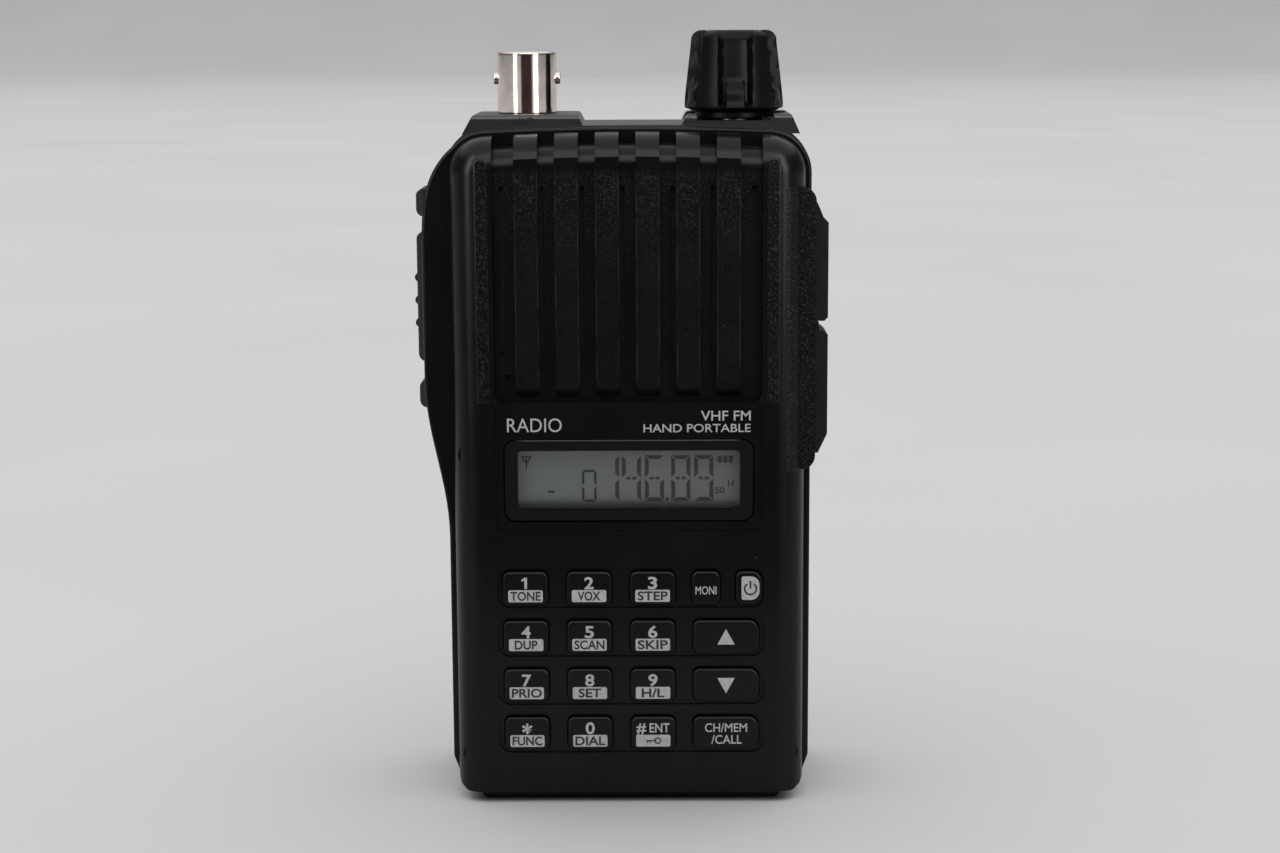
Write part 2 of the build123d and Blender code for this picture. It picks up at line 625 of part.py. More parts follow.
with BuildPart() as volume_knob:
    # turned blank: neck, flared rim and tapered body with a rounded top
    with BuildSketch(Plane.XZ):
        with BuildLine():
            Polyline((0, dish_floor + 0.2), (knob_neck, dish_floor + 0.2), (knob_neck, knob_low),
                     (knob_radius - 0.9, knob_low), (knob_radius, knob_low + 0.9),
                     (knob_radius, knob_low + 2.4), (knob_top_radius + 0.15, knob_top - 1.3),
                     (knob_top_radius - 1.2, knob_top), (0, knob_top), (0, dish_floor + 0.2))
        make_face()
    revolve(axis=Axis.Z)
    # five grip grooves from the top down
    for flute in range(flute_count):
        turn = flute * 360 / flute_count - 90
        with BuildSketch(Plane.XY.rotated((0, 0, turn)).offset(knob_low + 1.1)):
            with Locations((knob_top_radius + 2.75, 0)):
                RectangleRounded(6.6, 5.3, 1.2)
        extrude(amount=20, taper=-1.5, mode=Mode.SUBTRACT)
        # raised block at the foot of the groove
        with BuildSketch(Plane.XZ.rotated((0, 0, turn)).offset(-1.6)):
            with BuildLine():
                Polyline((4, knob_low + 1.0), (knob_radius - 0.35, knob_low + 1.0),
                         (knob_radius - 0.5, knob_low + 3.4), (knob_top_radius - 0.9, knob_low + 5.6),
                         (4, knob_low + 5.6), (4, knob_low + 1.0))
            make_face()
        extrude(amount=3.2)
    rod_z(0, 0, shaft_radius + 0.02, (100, knob_top - 3), mode=Mode.SUBTRACT)
volume_knob.part = volume_knob.part.moved(Location((knob[0], knob[1], 0)))
volume_knob.part.label = "volume_knob"
export_step(volume_knob.part, "parts/volume_knob.step")

with BuildPart() as volume_shaft:
    rod_z(*knob, shaft_radius, (106.6, knob_top - 3.2))
    rod_z(*knob, 2.0, (100.6, 106.7))
volume_shaft.part.label = "volume_shaft"
export_step(volume_shaft.part, "parts/volume_shaft.step")

with BuildPart() as volume_pot:
    # potentiometer body under the chassis top, with its threaded bush
    block((knob[0] - 5.5, knob[0] + 5.5), (knob[1] - 5.2, knob[1] + 5.2), (99.6, 105.4))
    rod_z(*knob, 5.0, (105.3, 107.8))
    rod_z(*knob, 3.5, (107.7, dish_floor + 0.1))
    rod_z(*knob, shaft_radius + 0.05, (106.5, 113), mode=Mode.SUBTRACT)
    rod_z(*knob, 2.05, (100.5, 107), mode=Mode.SUBTRACT)
volume_pot.part.label = "volume_pot"
export_step(volume_pot.part, "parts/volume_pot.step")

# ---- push-to-talk and side buttons --------------------------------------------------------
flange_x = (-29.45, -28.6)


def side_button(low, high, out, stem_end, round_edge):
    """A button that moves along X: cap, flange behind the wall and a stem to its switch."""
    block((-out, flange_x[0] + 0.1), side_button_y, (low, high))
    outer_edges = edges().filter_by(lambda edge: edge.center().X < -out + 0.01)
    fillet(outer_edges, round_edge)
    block(flange_x, (side_button_y[0] - 0.45, side_button_y[1] + 0.45),
          (low - 0.45, high + 0.45))
    rod_x(-3.0, (low + high) / 2, 1.5, (flange_x[1] - 0.1, stem_end))


with BuildPart() as ptt_button:
    side_button(*ptt_z, ptt_out, -27.5, 1.4)
    for grip_z in (78.5, 82.2, 85.9):
        with Locations(Location((-ptt_out + 0.35, (side_button_y[0] + side_button_y[1]) / 2,
                                 grip_z), (90, 0, 0))):
            Cylinder(0.75, side_button_y[1] - side_button_y[0] - 2.8)
ptt_button.part.label = "ptt_button"
export_step(ptt_button.part, "parts/ptt_button.step")

for button_label, button_z in (("side_button_upper", upper_z), ("side_button_lower", lower_z)):
    with BuildPart() as small_button:
        side_button(*button_z, ptt_out - 0.05, -26.9, 1.3)
    small_button.part.label = button_label
    export_step(small_button.part, f"parts/{button_label}.step")

with BuildPart() as side_switches:
    # strip board with a switch behind each button
    block((-24.6, -23.8), (-6.4, -1.2), (62.5, 104.5))
    for switch_z in (sum(ptt_z) / 2, sum(upper_z) / 2, sum(lower_z) / 2):
        block((-26.15, -24.5), (-4.6, -1.4), (switch_z - 1.8, switch_z + 1.8))
side_switches.part.label = "side_switches"
export_step(side_switches.part, "parts/side_switches.step")

# ---- jack cover and jacks -----------------------------------------------------------------
cover_inner = cover_seat + 0.15

with BuildPart() as jack_cover_base:
    # lower half, screwed to the case, with the strap that the flap bends on
    with BuildSketch(front_plane(cover_y[0])):
        with BuildLine():
            Polyline((cover_inner, cover_z[0]), (30.9, cover_z[0]), (cover_out, cover_z[0] + 3.2),
                     (cover_out, notch_z - notch_half - 0.6), (cover_out - 0.6, notch_z - notch_half),
                     (cover_inner, notch_z - notch_half), (cover_inner, cover_z[0]))
        make_face()
    extrude(amount=-(cover_y[1] - cover_y[0]))
    block((cover_inner, 31.0), (cover_y[0] + 0.6, cover_y[1] - 0.6),
          (notch_z - notch_half - 0.1, notch_z + 0.45))
    rod_x(-2.9, 66.0, 2.0, (30.4, 33), mode=Mode.SUBTRACT)
    rod_x(-2.9, 66.0, 1.05, (28, 33), mode=Mode.SUBTRACT)
jack_cover_base.part.label = "jack_cover_base"
export_step(jack_cover_base.part, "parts/jack_cover_base.step")

with BuildPart() as jack_cover_flap:
    # upper half with a plug for each jack
    with BuildSketch(front_plane(cover_y[0])):
        with BuildLine():
            Polyline((cover_inner, notch_z + notch_half), (cover_out - 0.6, notch_z + notch_half),
                     (cover_out, notch_z + notch_half + 0.6), (cover_out, 94.6),
                     (31.7, cover_z[1] - 2.6), (30.6, cover_z[1]), (cover_inner, cover_z[1]),
                     (cover_inner, notch_z + notch_half))
        make_face()
    extrude(amount=-(cover_y[1] - cover_y[0]))
jack_cover_flap.part.label = "jack_cover_flap"
export_step(jack_cover_flap.part, "parts/jack_cover_flap.step")

with BuildPart() as jack_cover_screw:
    rod_x(-2.9, 66.0, 1.9, (30.45, 31.9))
    rod_x(-2.9, 66.0, 0.95, (25.0, 30.5))
    block((31.4, 32.5), (-4.2, -1.6), (65.75, 66.25), mode=Mode.SUBTRACT)
jack_cover_screw.part.label = "jack_cover_screw"
export_step(jack_cover_screw.part, "parts/jack_cover_screw.step")


def jack(z, bore, collar, height):
    """A jack socket: moulded body with a round collar that sits in the case wall."""
    block(jack_x, (jack_y - 2.9, jack_y + 2.9), (z - height / 2, z + height / 2))
    block((27.55, 30), (-9, 0), (z - 4, z + 4), mode=Mode.SUBTRACT)
    rod_x(jack_y, z, collar, (27.4, jack_x[1]))
    rod_x(jack_y, z, bore, (jack_x[0] + 1.0, jack_x[1] + 1), mode=Mode.SUBTRACT)


with BuildPart() as speaker_jack:
    jack(speaker_jack_z, speaker_jack_bore, 2.85, 6.4)
speaker_jack.part.label = "speaker_jack"
export_step(speaker_jack.part, "parts/speaker_jack.step")

with BuildPart() as microphone_jack:
    jack(microphone_jack_z, microphone_jack_bore, 2.35, 5.6)
microphone_jack.part.label = "microphone_jack"
export_step(microphone_jack.part, "parts/microphone_jack.step")

# ---- battery pack -------------------------------------------------------------------------
with BuildPart() as battery_case:
    block((-pack_half, pack_half), (pack_front + cover_thickness, case_back), (0, pack_top))
    fillet(battery_case.edges().filter_by(Axis.Z).group_by(Axis.Y)[-1], 3.0)
    chamfer(battery_case.faces().sort_by(Axis.Z)[0].edges(), 0.9)
    block((-pack_half + pack_wall, pack_half - pack_wall), (0, case_back - pack_wall),
          (pack_wall, pack_top - pack_wall), mode=Mode.SUBTRACT)
    # two finger ribs on each side and a shallow label panel on the back
    for rib_z in range(5):
        for side in (-1, 1):
            with Locations(Location((side * pack_half, 9.0, 18 + 3.2 * rib_z), (90, 0, 0))):
                Cylinder(0.55, 6.5)
    block((-20, 20), (case_back - 0.3, case_back + 1), (8, 44), mode=Mode.SUBTRACT)
battery_case.part.label = "battery_case"
export_step(battery_case.part, "parts/battery_case.step")


def tooth_height(depth, gap):
    """Height of the catch tooth's sloped face at a depth, with the face moved back by a gap."""
    return catch_z[1] - 0.3 - (depth - plate_back - 0.1 - gap) / catch_slope


with BuildPart() as battery_cover:
    # inner plate of the pack with its sliding tongues, contact windows and catch notch
    block((-pack_half, pack_half), (pack_front, pack_front + cover_thickness), (0.9, pack_top))
    for rail_side in (-rail_x, rail_x):
        for tongue_low, tongue_high in rail_tongues:
            with BuildSketch(Plane.XY.offset(tongue_low)):
                with BuildLine():
                    Polyline((rail_side - rail_neck, pack_front + 0.1),
                             (rail_side - rail_neck, plate_back - 0.2),
                             (rail_side - rail_wide, plate_back - rail_depth + 0.25),
                             (rail_side - rail_wide, plate_back - rail_depth),
                             (rail_side + rail_wide, plate_back - rail_depth),
                             (rail_side + rail_wide, plate_back - rail_depth + 0.25),
                             (rail_side + rail_neck, plate_back - 0.2),
                             (rail_side + rail_neck, pack_front + 0.1),
                             (rail_side - rail_neck, pack_front + 0.1))
                make_face()
            extrude(amount=tongue_high - tongue_low)
    notch_low = catch_z[0] - 0.3
    notch_far = pack_front + cover_thickness + 0.1
    notch_near = pack_front - 0.1
    with BuildSketch(Plane.YZ.offset(-catch_half - 0.3)):
        with BuildLine():
            Polyline((pack_front - 1, notch_low), (notch_far, notch_low),
                     (notch_far, tooth_height(notch_far, catch_gap)),
                     (notch_near, tooth_height(notch_near, catch_gap)),
                     (pack_front - 1, catch_z[1] + 2), (pack_front - 1, notch_low))
        make_face()
    extrude(amount=2 * catch_half + 0.6, mode=Mode.SUBTRACT)
    for contact in range(4):
        block((-11.0 + 6.0 * contact, -7.0 + 6.0 * contact), (0, 10), (43.0, 49.0),
              mode=Mode.SUBTRACT)
battery_cover.part.label = "battery_cover"
export_step(battery_cover.part, "parts/battery_cover.step")

with BuildPart() as battery_contacts:
    for contact in range(4):
        contact_x = -9.0 + 6.0 * contact
        block((contact_x - 1.95, contact_x + 1.95), (pack_front + 0.15, pack_front + 0.55),
              (43.05, 48.95))
        block((contact_x - 1.0, contact_x + 1.0), (pack_front + 0.5, pack_front + 1.4),
              (45.0, 47.0))
battery_contacts.part.label = "battery_contacts"
export_step(battery_contacts.part, "parts/battery_contacts.step")

with BuildPart() as battery_cells:
    # two flat lithium cells side by side
    for cell_x in (-13.4, 13.4):
        with BuildSketch(Plane.XY.offset(9)):
            with Locations((cell_x, 9.2)):
                RectangleRounded(26.2, 8.4, 3.4)
        extrude(amount=78)
battery_cells.part.label = "battery_cells"
export_step(battery_cells.part, "parts/battery_cells.step")

with BuildPart() as chassis_contacts:
    # sprung pins that meet the pack's contacts
    for contact in range(4):
        rod_y(-9.0 + 6.0 * contact, 46.0, 1.0, (plate_front - 0.4, plate_back - 0.1))
        rod_y(-9.0 + 6.0 * contact, 46.0, 0.6, (plate_back - 0.2, pack_front - 0.06))
chassis_contacts.part.label = "chassis_contacts"
export_step(chassis_contacts.part, "parts/chassis_contacts.step")

with BuildPart() as battery_catch:
    # sprung wedge in the chassis plate that the pack pushes back as it slides down
    block((-catch_half, catch_half), (-0.4, plate_back), catch_z)
    tooth_root = plate_back + 0.1
    tooth_tip = tooth_root + catch_slope * (catch_z[1] - 0.3 - catch_z[0])
    with BuildSketch(Plane.YZ.offset(-catch_half)):
        with BuildLine():
            Polyline((tooth_root - 0.3, catch_z[0]), (tooth_tip, catch_z[0]),
                     (tooth_root, tooth_height(tooth_root, 0)),
                     (tooth_root - 0.3, tooth_height(tooth_root, 0)),
                     (tooth_root - 0.3, catch_z[0]))
        make_face()
    extrude(amount=2 * catch_half)
battery_catch.part.label = "battery_catch"
export_step(battery_catch.part, "parts/battery_catch.step")

# ---- belt clip ----------------------------------------------------------------------------
with BuildPart() as clip_plate:
    # bracket screwed to the chassis shoulder, with two ears for the hinge pin
    block((-clip_half, clip_half), (case_back + 0.02, case_back + 1.6), (shoulder_low + 0.3, 108))
    for side in (-1, 1):
        ear = (side * (clip_half - 0.75) - 0.75, side * (clip_half - 0.75) + 0.75)
        block(ear, (case_back + 1.5, clip_pin_y), (clip_pin_z - 2, clip_pin_z + 2))
        rod_x(clip_pin_y, clip_pin_z, 2.0, ear)
    rod_x(clip_pin_y, clip_pin_z, 0.85, (-20, 20), mode=Mode.SUBTRACT)
    for screw_side in (-5.5, 5.5):
        rod_y(screw_side, 103.5, 1.25, (10, 20), mode=Mode.SUBTRACT)
        rod_y(screw_side, 103.5, 2.2, (case_back + 0.9, 20), mode=Mode.SUBTRACT)
clip_plate.part.label = "clip_plate"
export_step(clip_plate.part, "parts/clip_plate.step")

with BuildPart() as clip_lever:
    # lever: thumb pad above the pin and a long bowed tongue below it
    with BuildSketch(Plane.YZ.offset(-clip_half + 1.7)):
        with BuildLine():
            Polyline((clip_front, clip_top + 2), (clip_front, clip_low + 6),
                     (clip_front - 0.6, clip_low + 2), (clip_front, clip_low),
                     (clip_front + 1.0, clip_low + 1.2),
                     (clip_front + clip_thickness, clip_low + 6),
                     (clip_front + clip_thickness, clip_top + 1),
                     (clip_front + 1.0, clip_top + 2), (clip_front, clip_top + 2))
        make_face()
    extrude(amount=2 * clip_half - 3.4)
    block((-clip_half + 1.7, clip_half - 1.7), (clip_pin_y, clip_front + 0.1),
          (clip_pin_z - 1.5, clip_pin_z + 1.5))
    rod_x(clip_pin_y, clip_pin_z, 1.5, (-clip_half + 1.7, clip_half - 1.7))
    block((-3.6, 3.6), (clip_pin_y - 3, clip_front), (clip_pin_z - 3, clip_pin_z + 3),
          mode=Mode.SUBTRACT)
    rod_x(clip_pin_y, clip_pin_z, 0.85, (-20, 20), mode=Mode.SUBTRACT)
    fillet(clip_lever.edges().filter_by(Axis.Y).group_by(Axis.Z)[-1], 2.0)
clip_lever.part.label = "clip_lever"
export_step(clip_lever.part, "parts/clip_lever.step")

with BuildPart() as clip_pin:
    rod_x(clip_pin_y, clip_pin_z, 0.8, (-clip_half + 0.1, clip_half - 0.1))
clip_pin.part.label = "clip_pin"
export_step(clip_pin.part, "parts/clip_pin.step")

with BuildPart() as clip_spring:
    # torsion spring round the pin, as its outer sleeve, with a leg on the plate
    rod_x(clip_pin_y, clip_pin_z, 1.45, (-3.2, 3.2))
    rod_x(clip_pin_y, clip_pin_z, 0.9, (-4, 4), mode=Mode.SUBTRACT)
    block((-2.9, -2.3), (case_back + 1.65, clip_pin_y), (clip_pin_z + 0.95, clip_pin_z + 1.4))
clip_spring.part.label = "clip_spring"
export_step(clip_spring.part, "parts/clip_spring.step")

with BuildPart() as clip_screws:
    for screw_side in (-5.5, 5.5):
        rod_y(screw_side, 103.5, 2.1, (case_back + 0.92, case_back + 1.6))
        rod_y(screw_side, 103.5, 1.15, (case_back - 2.2, case_back + 1.0))
        block((screw_side - 1.6, screw_side + 1.6), (case_back + 1.3, case_back + 2),
              (103.2, 103.8), mode=Mode.SUBTRACT)
clip_screws.part.label = "clip_screws"
export_step(clip_screws.part, "parts/clip_screws.step")
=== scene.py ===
import json
import math

import bmesh
import bpy
import numpy as np
from mathutils import Matrix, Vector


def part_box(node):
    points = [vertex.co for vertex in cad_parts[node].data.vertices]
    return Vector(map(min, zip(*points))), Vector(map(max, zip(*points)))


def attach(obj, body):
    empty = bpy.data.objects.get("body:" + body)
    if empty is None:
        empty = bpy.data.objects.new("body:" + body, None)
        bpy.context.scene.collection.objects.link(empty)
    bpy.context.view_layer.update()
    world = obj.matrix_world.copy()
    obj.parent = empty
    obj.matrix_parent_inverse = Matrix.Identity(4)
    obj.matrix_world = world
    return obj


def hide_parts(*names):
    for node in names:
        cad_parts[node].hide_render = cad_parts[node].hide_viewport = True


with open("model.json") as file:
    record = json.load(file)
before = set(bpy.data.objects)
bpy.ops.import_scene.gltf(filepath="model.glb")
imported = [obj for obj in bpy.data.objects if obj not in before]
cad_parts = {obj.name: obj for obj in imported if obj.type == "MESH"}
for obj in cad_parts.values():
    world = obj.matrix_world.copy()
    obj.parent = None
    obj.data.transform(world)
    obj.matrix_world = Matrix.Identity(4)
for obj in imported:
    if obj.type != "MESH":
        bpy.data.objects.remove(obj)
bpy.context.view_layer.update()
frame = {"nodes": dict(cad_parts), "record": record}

# Looks of a handheld two-way radio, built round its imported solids. Shapes are worked out in
# millimetres in the radio's own frame: X to the right, Y back through it, Z up.

mm = 0.001
rib_pitch, rib_width = 6.43, 3.75
grille_half, grille_low, grille_fold = 21.4, 66.8, 103.4
ridge_near, ridge_far = 22.2, 24.1
pad_near, pad_far, pad_low, pad_high = 25.3, 30.3, 55.2, 100.8
battery_panel_y = 14.95
boss_front = -7.2
window_width, window_height, window_corner = 35.9, 9.7, 0.8
body_of_node = {}
for body_name, members in frame["record"]["behaviour"]["bodies"].items():
    for member in members:
        body_of_node[member] = body_name


def corners(node):
    """A CAD node's lowest and highest corner in millimetres."""
    low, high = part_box(node)
    return np.array(low) / mm, np.array(high) / mm


display_low, display_high = corners("lcd_module")
lens_low, lens_high = corners("lcd_lens")


def add_object(name, data):
    """Puts a new object into the scene."""
    made = bpy.data.objects.new(name, data)
    bpy.context.scene.collection.objects.link(made)
    return made


# ---- shader expressions -------------------------------------------------------------------
class Wire:
    """A node's output. Arithmetic on it adds Math nodes to the finish it belongs to."""

    def __init__(self, finish, socket):
        self.finish = finish
        self.socket = socket

    def __add__(self, other):
        return self.finish.maths("ADD", self, other)

    def __sub__(self, other):
        return self.finish.maths("SUBTRACT", self, other)

    def __rsub__(self, other):
        return self.finish.maths("SUBTRACT", other, self)

    def __mul__(self, other):
        return self.finish.maths("MULTIPLY", self, other)

    def __truediv__(self, other):
        return self.finish.maths("DIVIDE", self, other)

    __radd__ = __add__
    __rmul__ = __mul__

    def size(self):
        """The value without its sign."""
        return self.finish.maths("ABSOLUTE", self)

    def most(self, other):
        """The larger of two values."""
        return self.finish.maths("MAXIMUM", self, other)

    def rise(self, low, high):
        """0 below low and 1 above high, with a smooth step between."""
        return self.finish.add("ShaderNodeMapRange", {"interpolation_type": "SMOOTHSTEP"},
                               {"Value": self, "From Min": low, "From Max": high})

    def within(self, low, high, soft=0.15):
        """1 between two limits and 0 outside them."""
        return self.rise(low - soft, low + soft) * (1 - self.rise(high - soft, high + soft))


class Finish:
    """One material: a node tree on object coordinates in millimetres."""

    def __init__(self, name):
        self.material = bpy.data.materials.new(name)
        self.material.use_nodes = True
        self.tree = self.material.node_tree
        self.tree.nodes.clear()
        metres = self.add("ShaderNodeTexCoord", output="Object")
        self.point = self.add("ShaderNodeVectorMath", {"operation": "SCALE"},
                              {0: metres, "Scale": 1 / mm})
        self.x, self.y, self.z = (
            self.add("ShaderNodeSeparateXYZ", None, {0: self.point}, axis) for axis in "XYZ")

    def add(self, kind, settings=None, inputs=None, output=0):
        """Adds a node, applies its settings, then fills its sockets with values or wires."""
        node = self.tree.nodes.new(kind)
        for name, value in (settings or {}).items():
            setattr(node, name, value)
        for name, value in (inputs or {}).items():
            if isinstance(value, Wire):
                self.tree.links.new(value.socket, node.inputs[name])
            else:
                node.inputs[name].default_value = value
        return Wire(self, node.outputs[output])

    def maths(self, operation, first, second=0.0):
        return self.add("ShaderNodeMath", {"operation": operation}, {0: first, 1: second})

    def mix(self, share, first, second):
        """The first colour, turning into the second as share goes from 0 to 1."""
        return self.add("ShaderNodeMix", {"data_type": "RGBA"},
                        {"Factor": share, 6: first, 7: second}, 2)

    def noise(self, grain, detail=2.0, stretch=(1, 1, 1)):
        """Soft noise whose lumps are about grain millimetres wide, drawn out along an axis."""
        place = self.point
        if stretch != (1, 1, 1):
            place = self.add("ShaderNodeVectorMath", {"operation": "DIVIDE"},
                             {0: self.point, 1: stretch})
        return self.add("ShaderNodeTexNoise", None,
                        {"Vector": place, "Scale": 1 / grain, "Detail": detail})

    def specks(self, spacing, share, radius=0.22):
        """Small round dots, one at most in each cell, on that share of the cells."""
        cell = {"Vector": self.point, "Scale": 1 / spacing}
        near = self.add("ShaderNodeTexVoronoi", None, cell, "Distance")
        pick = self.add("ShaderNodeTexVoronoi", None, cell, "Color")
        chance = self.add("ShaderNodeSeparateColor", None, {0: pick}, 0)
        return (1 - near.rise(radius * 0.6, radius)) * (1 - chance.rise(share, share + 0.01))

    def relief(self, height):
        """A normal for a height in millimetres."""
        return self.add("ShaderNodeBump", None, {"Height": height, "Distance": mm})

    def surface(self, **sockets):
        """Ends the tree in one Principled shader and returns the material."""
        names = {name.replace("_", " ").title().replace("Ior", "IOR"): value
                 for name, value in sockets.items()}
        shader = self.add("ShaderNodeBsdfPrincipled", None, names)
        end = self.tree.nodes.new("ShaderNodeOutputMaterial")
        self.tree.links.new(shader.socket, end.inputs["Surface"])
        return self.material


def tone(red, green, blue):
    """A colour given as 0 to 255 steps of a display, as linear light."""
    steps = np.array([red, green, blue]) / 255
    light = np.where(steps <= 0.04045, steps / 12.92, ((steps + 0.055) / 1.055) ** 2.4)
    return (*light.tolist(), 1.0)


# ---- finishes -----------------------------------------------------------------------------
dust = tone(150, 148, 144)


def moulded(name, base, gloss, grain=0.12, depth=0.003, dusty=0.004, **fixed):
    """Moulded plastic or rubber: fine spark-eroded grain, uneven sheen and a little dust."""
    finish = Finish(name)
    fine = finish.noise(grain, 3.0)
    broad = finish.noise(7.0, 3.0)
    dots = finish.specks(2.2, dusty, 0.05)
    colour = finish.mix(broad.rise(0.35, 0.7), base, tuple(1.25 * c for c in base[:3]) + (1.0,))
    return finish.surface(
        base_color=finish.mix(dots, colour, dust),
        roughness=gloss + 0.10 * (broad - 0.5) + 0.08 * (fine - 0.5),
        normal=finish.relief(depth * fine), **fixed)


def panel_plastic():
    """The front panel: satin shell, coarse crinkled grain on the ridges and on the grip pad, and
    finer grain on the grille ribs. The crests of the grain are painted lighter as painted glints, on
    the grille strongest just below the ribs' fold, and a painted highlight runs along the ribs'
    edges."""
    finish = Finish("panel_plastic")
    side = finish.x.size()
    ridge = side.within(ridge_near, ridge_far) * finish.z.within(66.6, 105.4)
    pad_face = 1 - finish.y.rise(-10.2, -9.6)
    pad = finish.x.within(pad_near, pad_far) * finish.z.within(pad_low, pad_high) * pad_face
    coarse = ridge.most(pad)
    inside = 1 - side.rise(grille_half - 0.1, grille_half + 0.1)
    grille = inside * finish.z.within(grille_low, grille_fold, 0.9)
    upper = grille * finish.z.rise(86.0, 102.0)
    # distance to the nearest rib's middle line; a painted highlight runs along each rib's edges,
    # broken up along its length
    from_rib = finish.maths("PINGPONG", finish.x + 10 * rib_pitch + rib_pitch / 2, rib_pitch / 2)
    highlight_fade = finish.noise(5.0, 2.0, (0.2, 0.2, 1.0)).rise(0.36, 0.62)
    on_ribs = (1 - side.rise(18.2, 18.4)) * finish.z.within(70.0, grille_fold, 1.0)
    # painted highlight: a thin lighter line on both edges of every rib, fading in and out along it
    edge = from_rib.within(rib_width / 2 - 0.17, rib_width / 2 + 0.03, 0.03) * on_ribs * highlight_fade
    fine = finish.noise(0.10, 3.0)
    leather = finish.noise(0.32, 3.0)
    crumbs = finish.noise(0.30, 2.0)
    broad = finish.noise(9.0, 3.0)
    dots = finish.specks(1.7, 0.010, 0.07).most(finish.specks(0.8, 0.03, 0.12) * coarse)
    height = 0.003 * fine + 0.090 * leather * coarse + 0.060 * crumbs * grille
    colour = finish.mix(broad.rise(0.35, 0.7), tone(12, 12, 13), tone(15, 15, 16))
    # painted glints: the crests of the grain are painted lighter, on the grille most strongly just
    # below the fold, together with the painted rib-edge highlight
    glint_crests = (leather.rise(0.53, 0.66) * 0.6 * coarse).most(
        crumbs.rise(0.52, 0.66) * (0.12 * grille + 0.5 * upper)).most(0.6 * edge)
    colour = finish.mix(glint_crests, colour, tone(64, 64, 66))
    return finish.surface(
        base_color=finish.mix(dots, colour, dust),
        roughness=0.27 + 0.02 * grille + 0.08 * (broad - 0.5),
        specular_ior_level=0.2,
        normal=finish.relief(height))


def metal(name, colour, gloss, scratch=0.0015, stretch=(1, 1, 1), grain=0.25):
    """Bare or plated metal with fine lines along its grain."""
    finish = Finish(name)
    lines = finish.noise(grain, 3.0, stretch)
    cloud = finish.noise(3.0, 2.0)
    darker = tuple(0.78 * c for c in colour[:3]) + (1.0,)
    return finish.surface(
        base_color=finish.mix(cloud.rise(0.3, 0.75), darker, colour),
        metallic=1.0,
        roughness=gloss + 0.12 * (lines - 0.5),
        normal=finish.relief(scratch * lines))


def lever_plastic():
    """The belt clip: satin plastic with grip bars on its thumb pad and a sunk long panel."""
    finish = Finish("clip_plastic")
    fine = finish.noise(0.2, 3.0)
    middle = 1 - finish.x.size().rise(4.9, 5.3)
    bars = finish.maths("SINE", finish.z * 4.2).rise(-0.4, 0.4) * finish.z.within(94.5, 104.0)
    panel = finish.z.within(57.0, 90.0)
    return finish.surface(
        base_color=finish.mix(fine.rise(0.3, 0.7), tone(16, 16, 17), tone(20, 20, 21)),
        roughness=0.36 + 0.05 * fine, specular_ior_level=0.35,
        normal=finish.relief(0.35 * bars * middle - 0.35 * panel * middle + 0.004 * fine))


def circuit_board():
    """Solder resist with tracks of copper showing through and pale printed marks."""
    finish = Finish("circuit_board")
    tracks = finish.noise(1.1, 1.0, (1, 1, 3)).within(0.47, 0.53, 0.01)
    marks = finish.specks(1.9, 0.3, 0.2)
    colour = finish.mix(tracks, tone(12, 62, 38), tone(36, 112, 66))
    return finish.surface(base_color=finish.mix(marks, colour, tone(205, 190, 140)),
                          roughness=0.35 - 0.1 * marks, normal=finish.relief(0.02 * tracks))


def woven_cloth():
    """Open-weave speaker cloth: two sets of threads crossing."""
    finish = Finish("speaker_cloth")
    wave = [finish.maths("SINE", axis * 16.0).size() for axis in (finish.x, finish.z)]
    thread = wave[0] * wave[1]
    return finish.surface(base_color=finish.mix(thread, tone(6, 6, 6), tone(34, 34, 35)),
                          roughness=0.85, normal=finish.relief(0.05 * thread))


def display_glass(low, high):
    """Grey reflective liquid-crystal panel: lighter to the left, shaded along its foot."""
    finish = Finish("display_glass")
    across = (finish.x - low[0]) / (high[0] - low[0])
    haze = finish.noise(6.0, 2.0)
    foot = finish.z.rise(low[2] + 2.6, low[2] + 4.4)
    colour = finish.mix(across.rise(0.1, 1.1), tone(147, 151, 152), tone(144, 143, 144))
    colour = finish.mix(foot, tone(62, 63, 62), colour)
    return finish.surface(base_color=colour, roughness=0.42 + 0.1 * (haze - 0.5),
                          normal=finish.relief(0.001 * haze))


def lens_plastic(low, high):
    """Clear polished lens, printed black on its margin all round the display and lit along
    its top edge. The margin is what lies past a rounded box: the distance from the box's
    shrunken core is more than its corner radius."""
    finish = Finish("lens_plastic")
    middle = (low + high) / 2
    sweep = [(finish.x - middle[0]).size() - (window_width / 2 - window_corner),
             (finish.z - middle[2]).size() - (window_height / 2 - window_corner)]
    past = [finish.maths("MAXIMUM", part, 0.0) for part in sweep]
    reach = finish.maths("SQRT", past[0] * past[0] + past[1] * past[1])
    margin = reach.rise(window_corner - 0.05, window_corner + 0.05)
    central = 1 - (finish.x - middle[0]).size().rise(16.5, 18.5)
    lit_edge = finish.z.within(high[2] - 0.30, high[2] - 0.12, 0.04) * central
    haze = finish.noise(4.0, 2.0)
    colour = finish.mix(margin, tone(70, 76, 78), tone(20, 20, 21))
    return finish.surface(base_color=finish.mix(lit_edge, colour, tone(126, 124, 120)),
                          roughness=0.12 + 0.06 * (haze - 0.5),
                          alpha=0.10 + 0.90 * margin,
                          normal=finish.relief(0.002 * haze))


def printed_ink(name, colour, wear=0.12):
    """Screen-printed ink: slightly uneven cover and a matt face."""
    finish = Finish(name)
    cover = finish.noise(0.5, 3.0)
    darker = tuple((1 - 2 * wear) * c for c in colour[:3]) + (1.0,)
    return finish.surface(base_color=finish.mix(cover.rise(0.25, 0.6), darker, colour),
                          roughness=0.55 + 0.1 * (cover - 0.5),
                          normal=finish.relief(0.002 * cover))


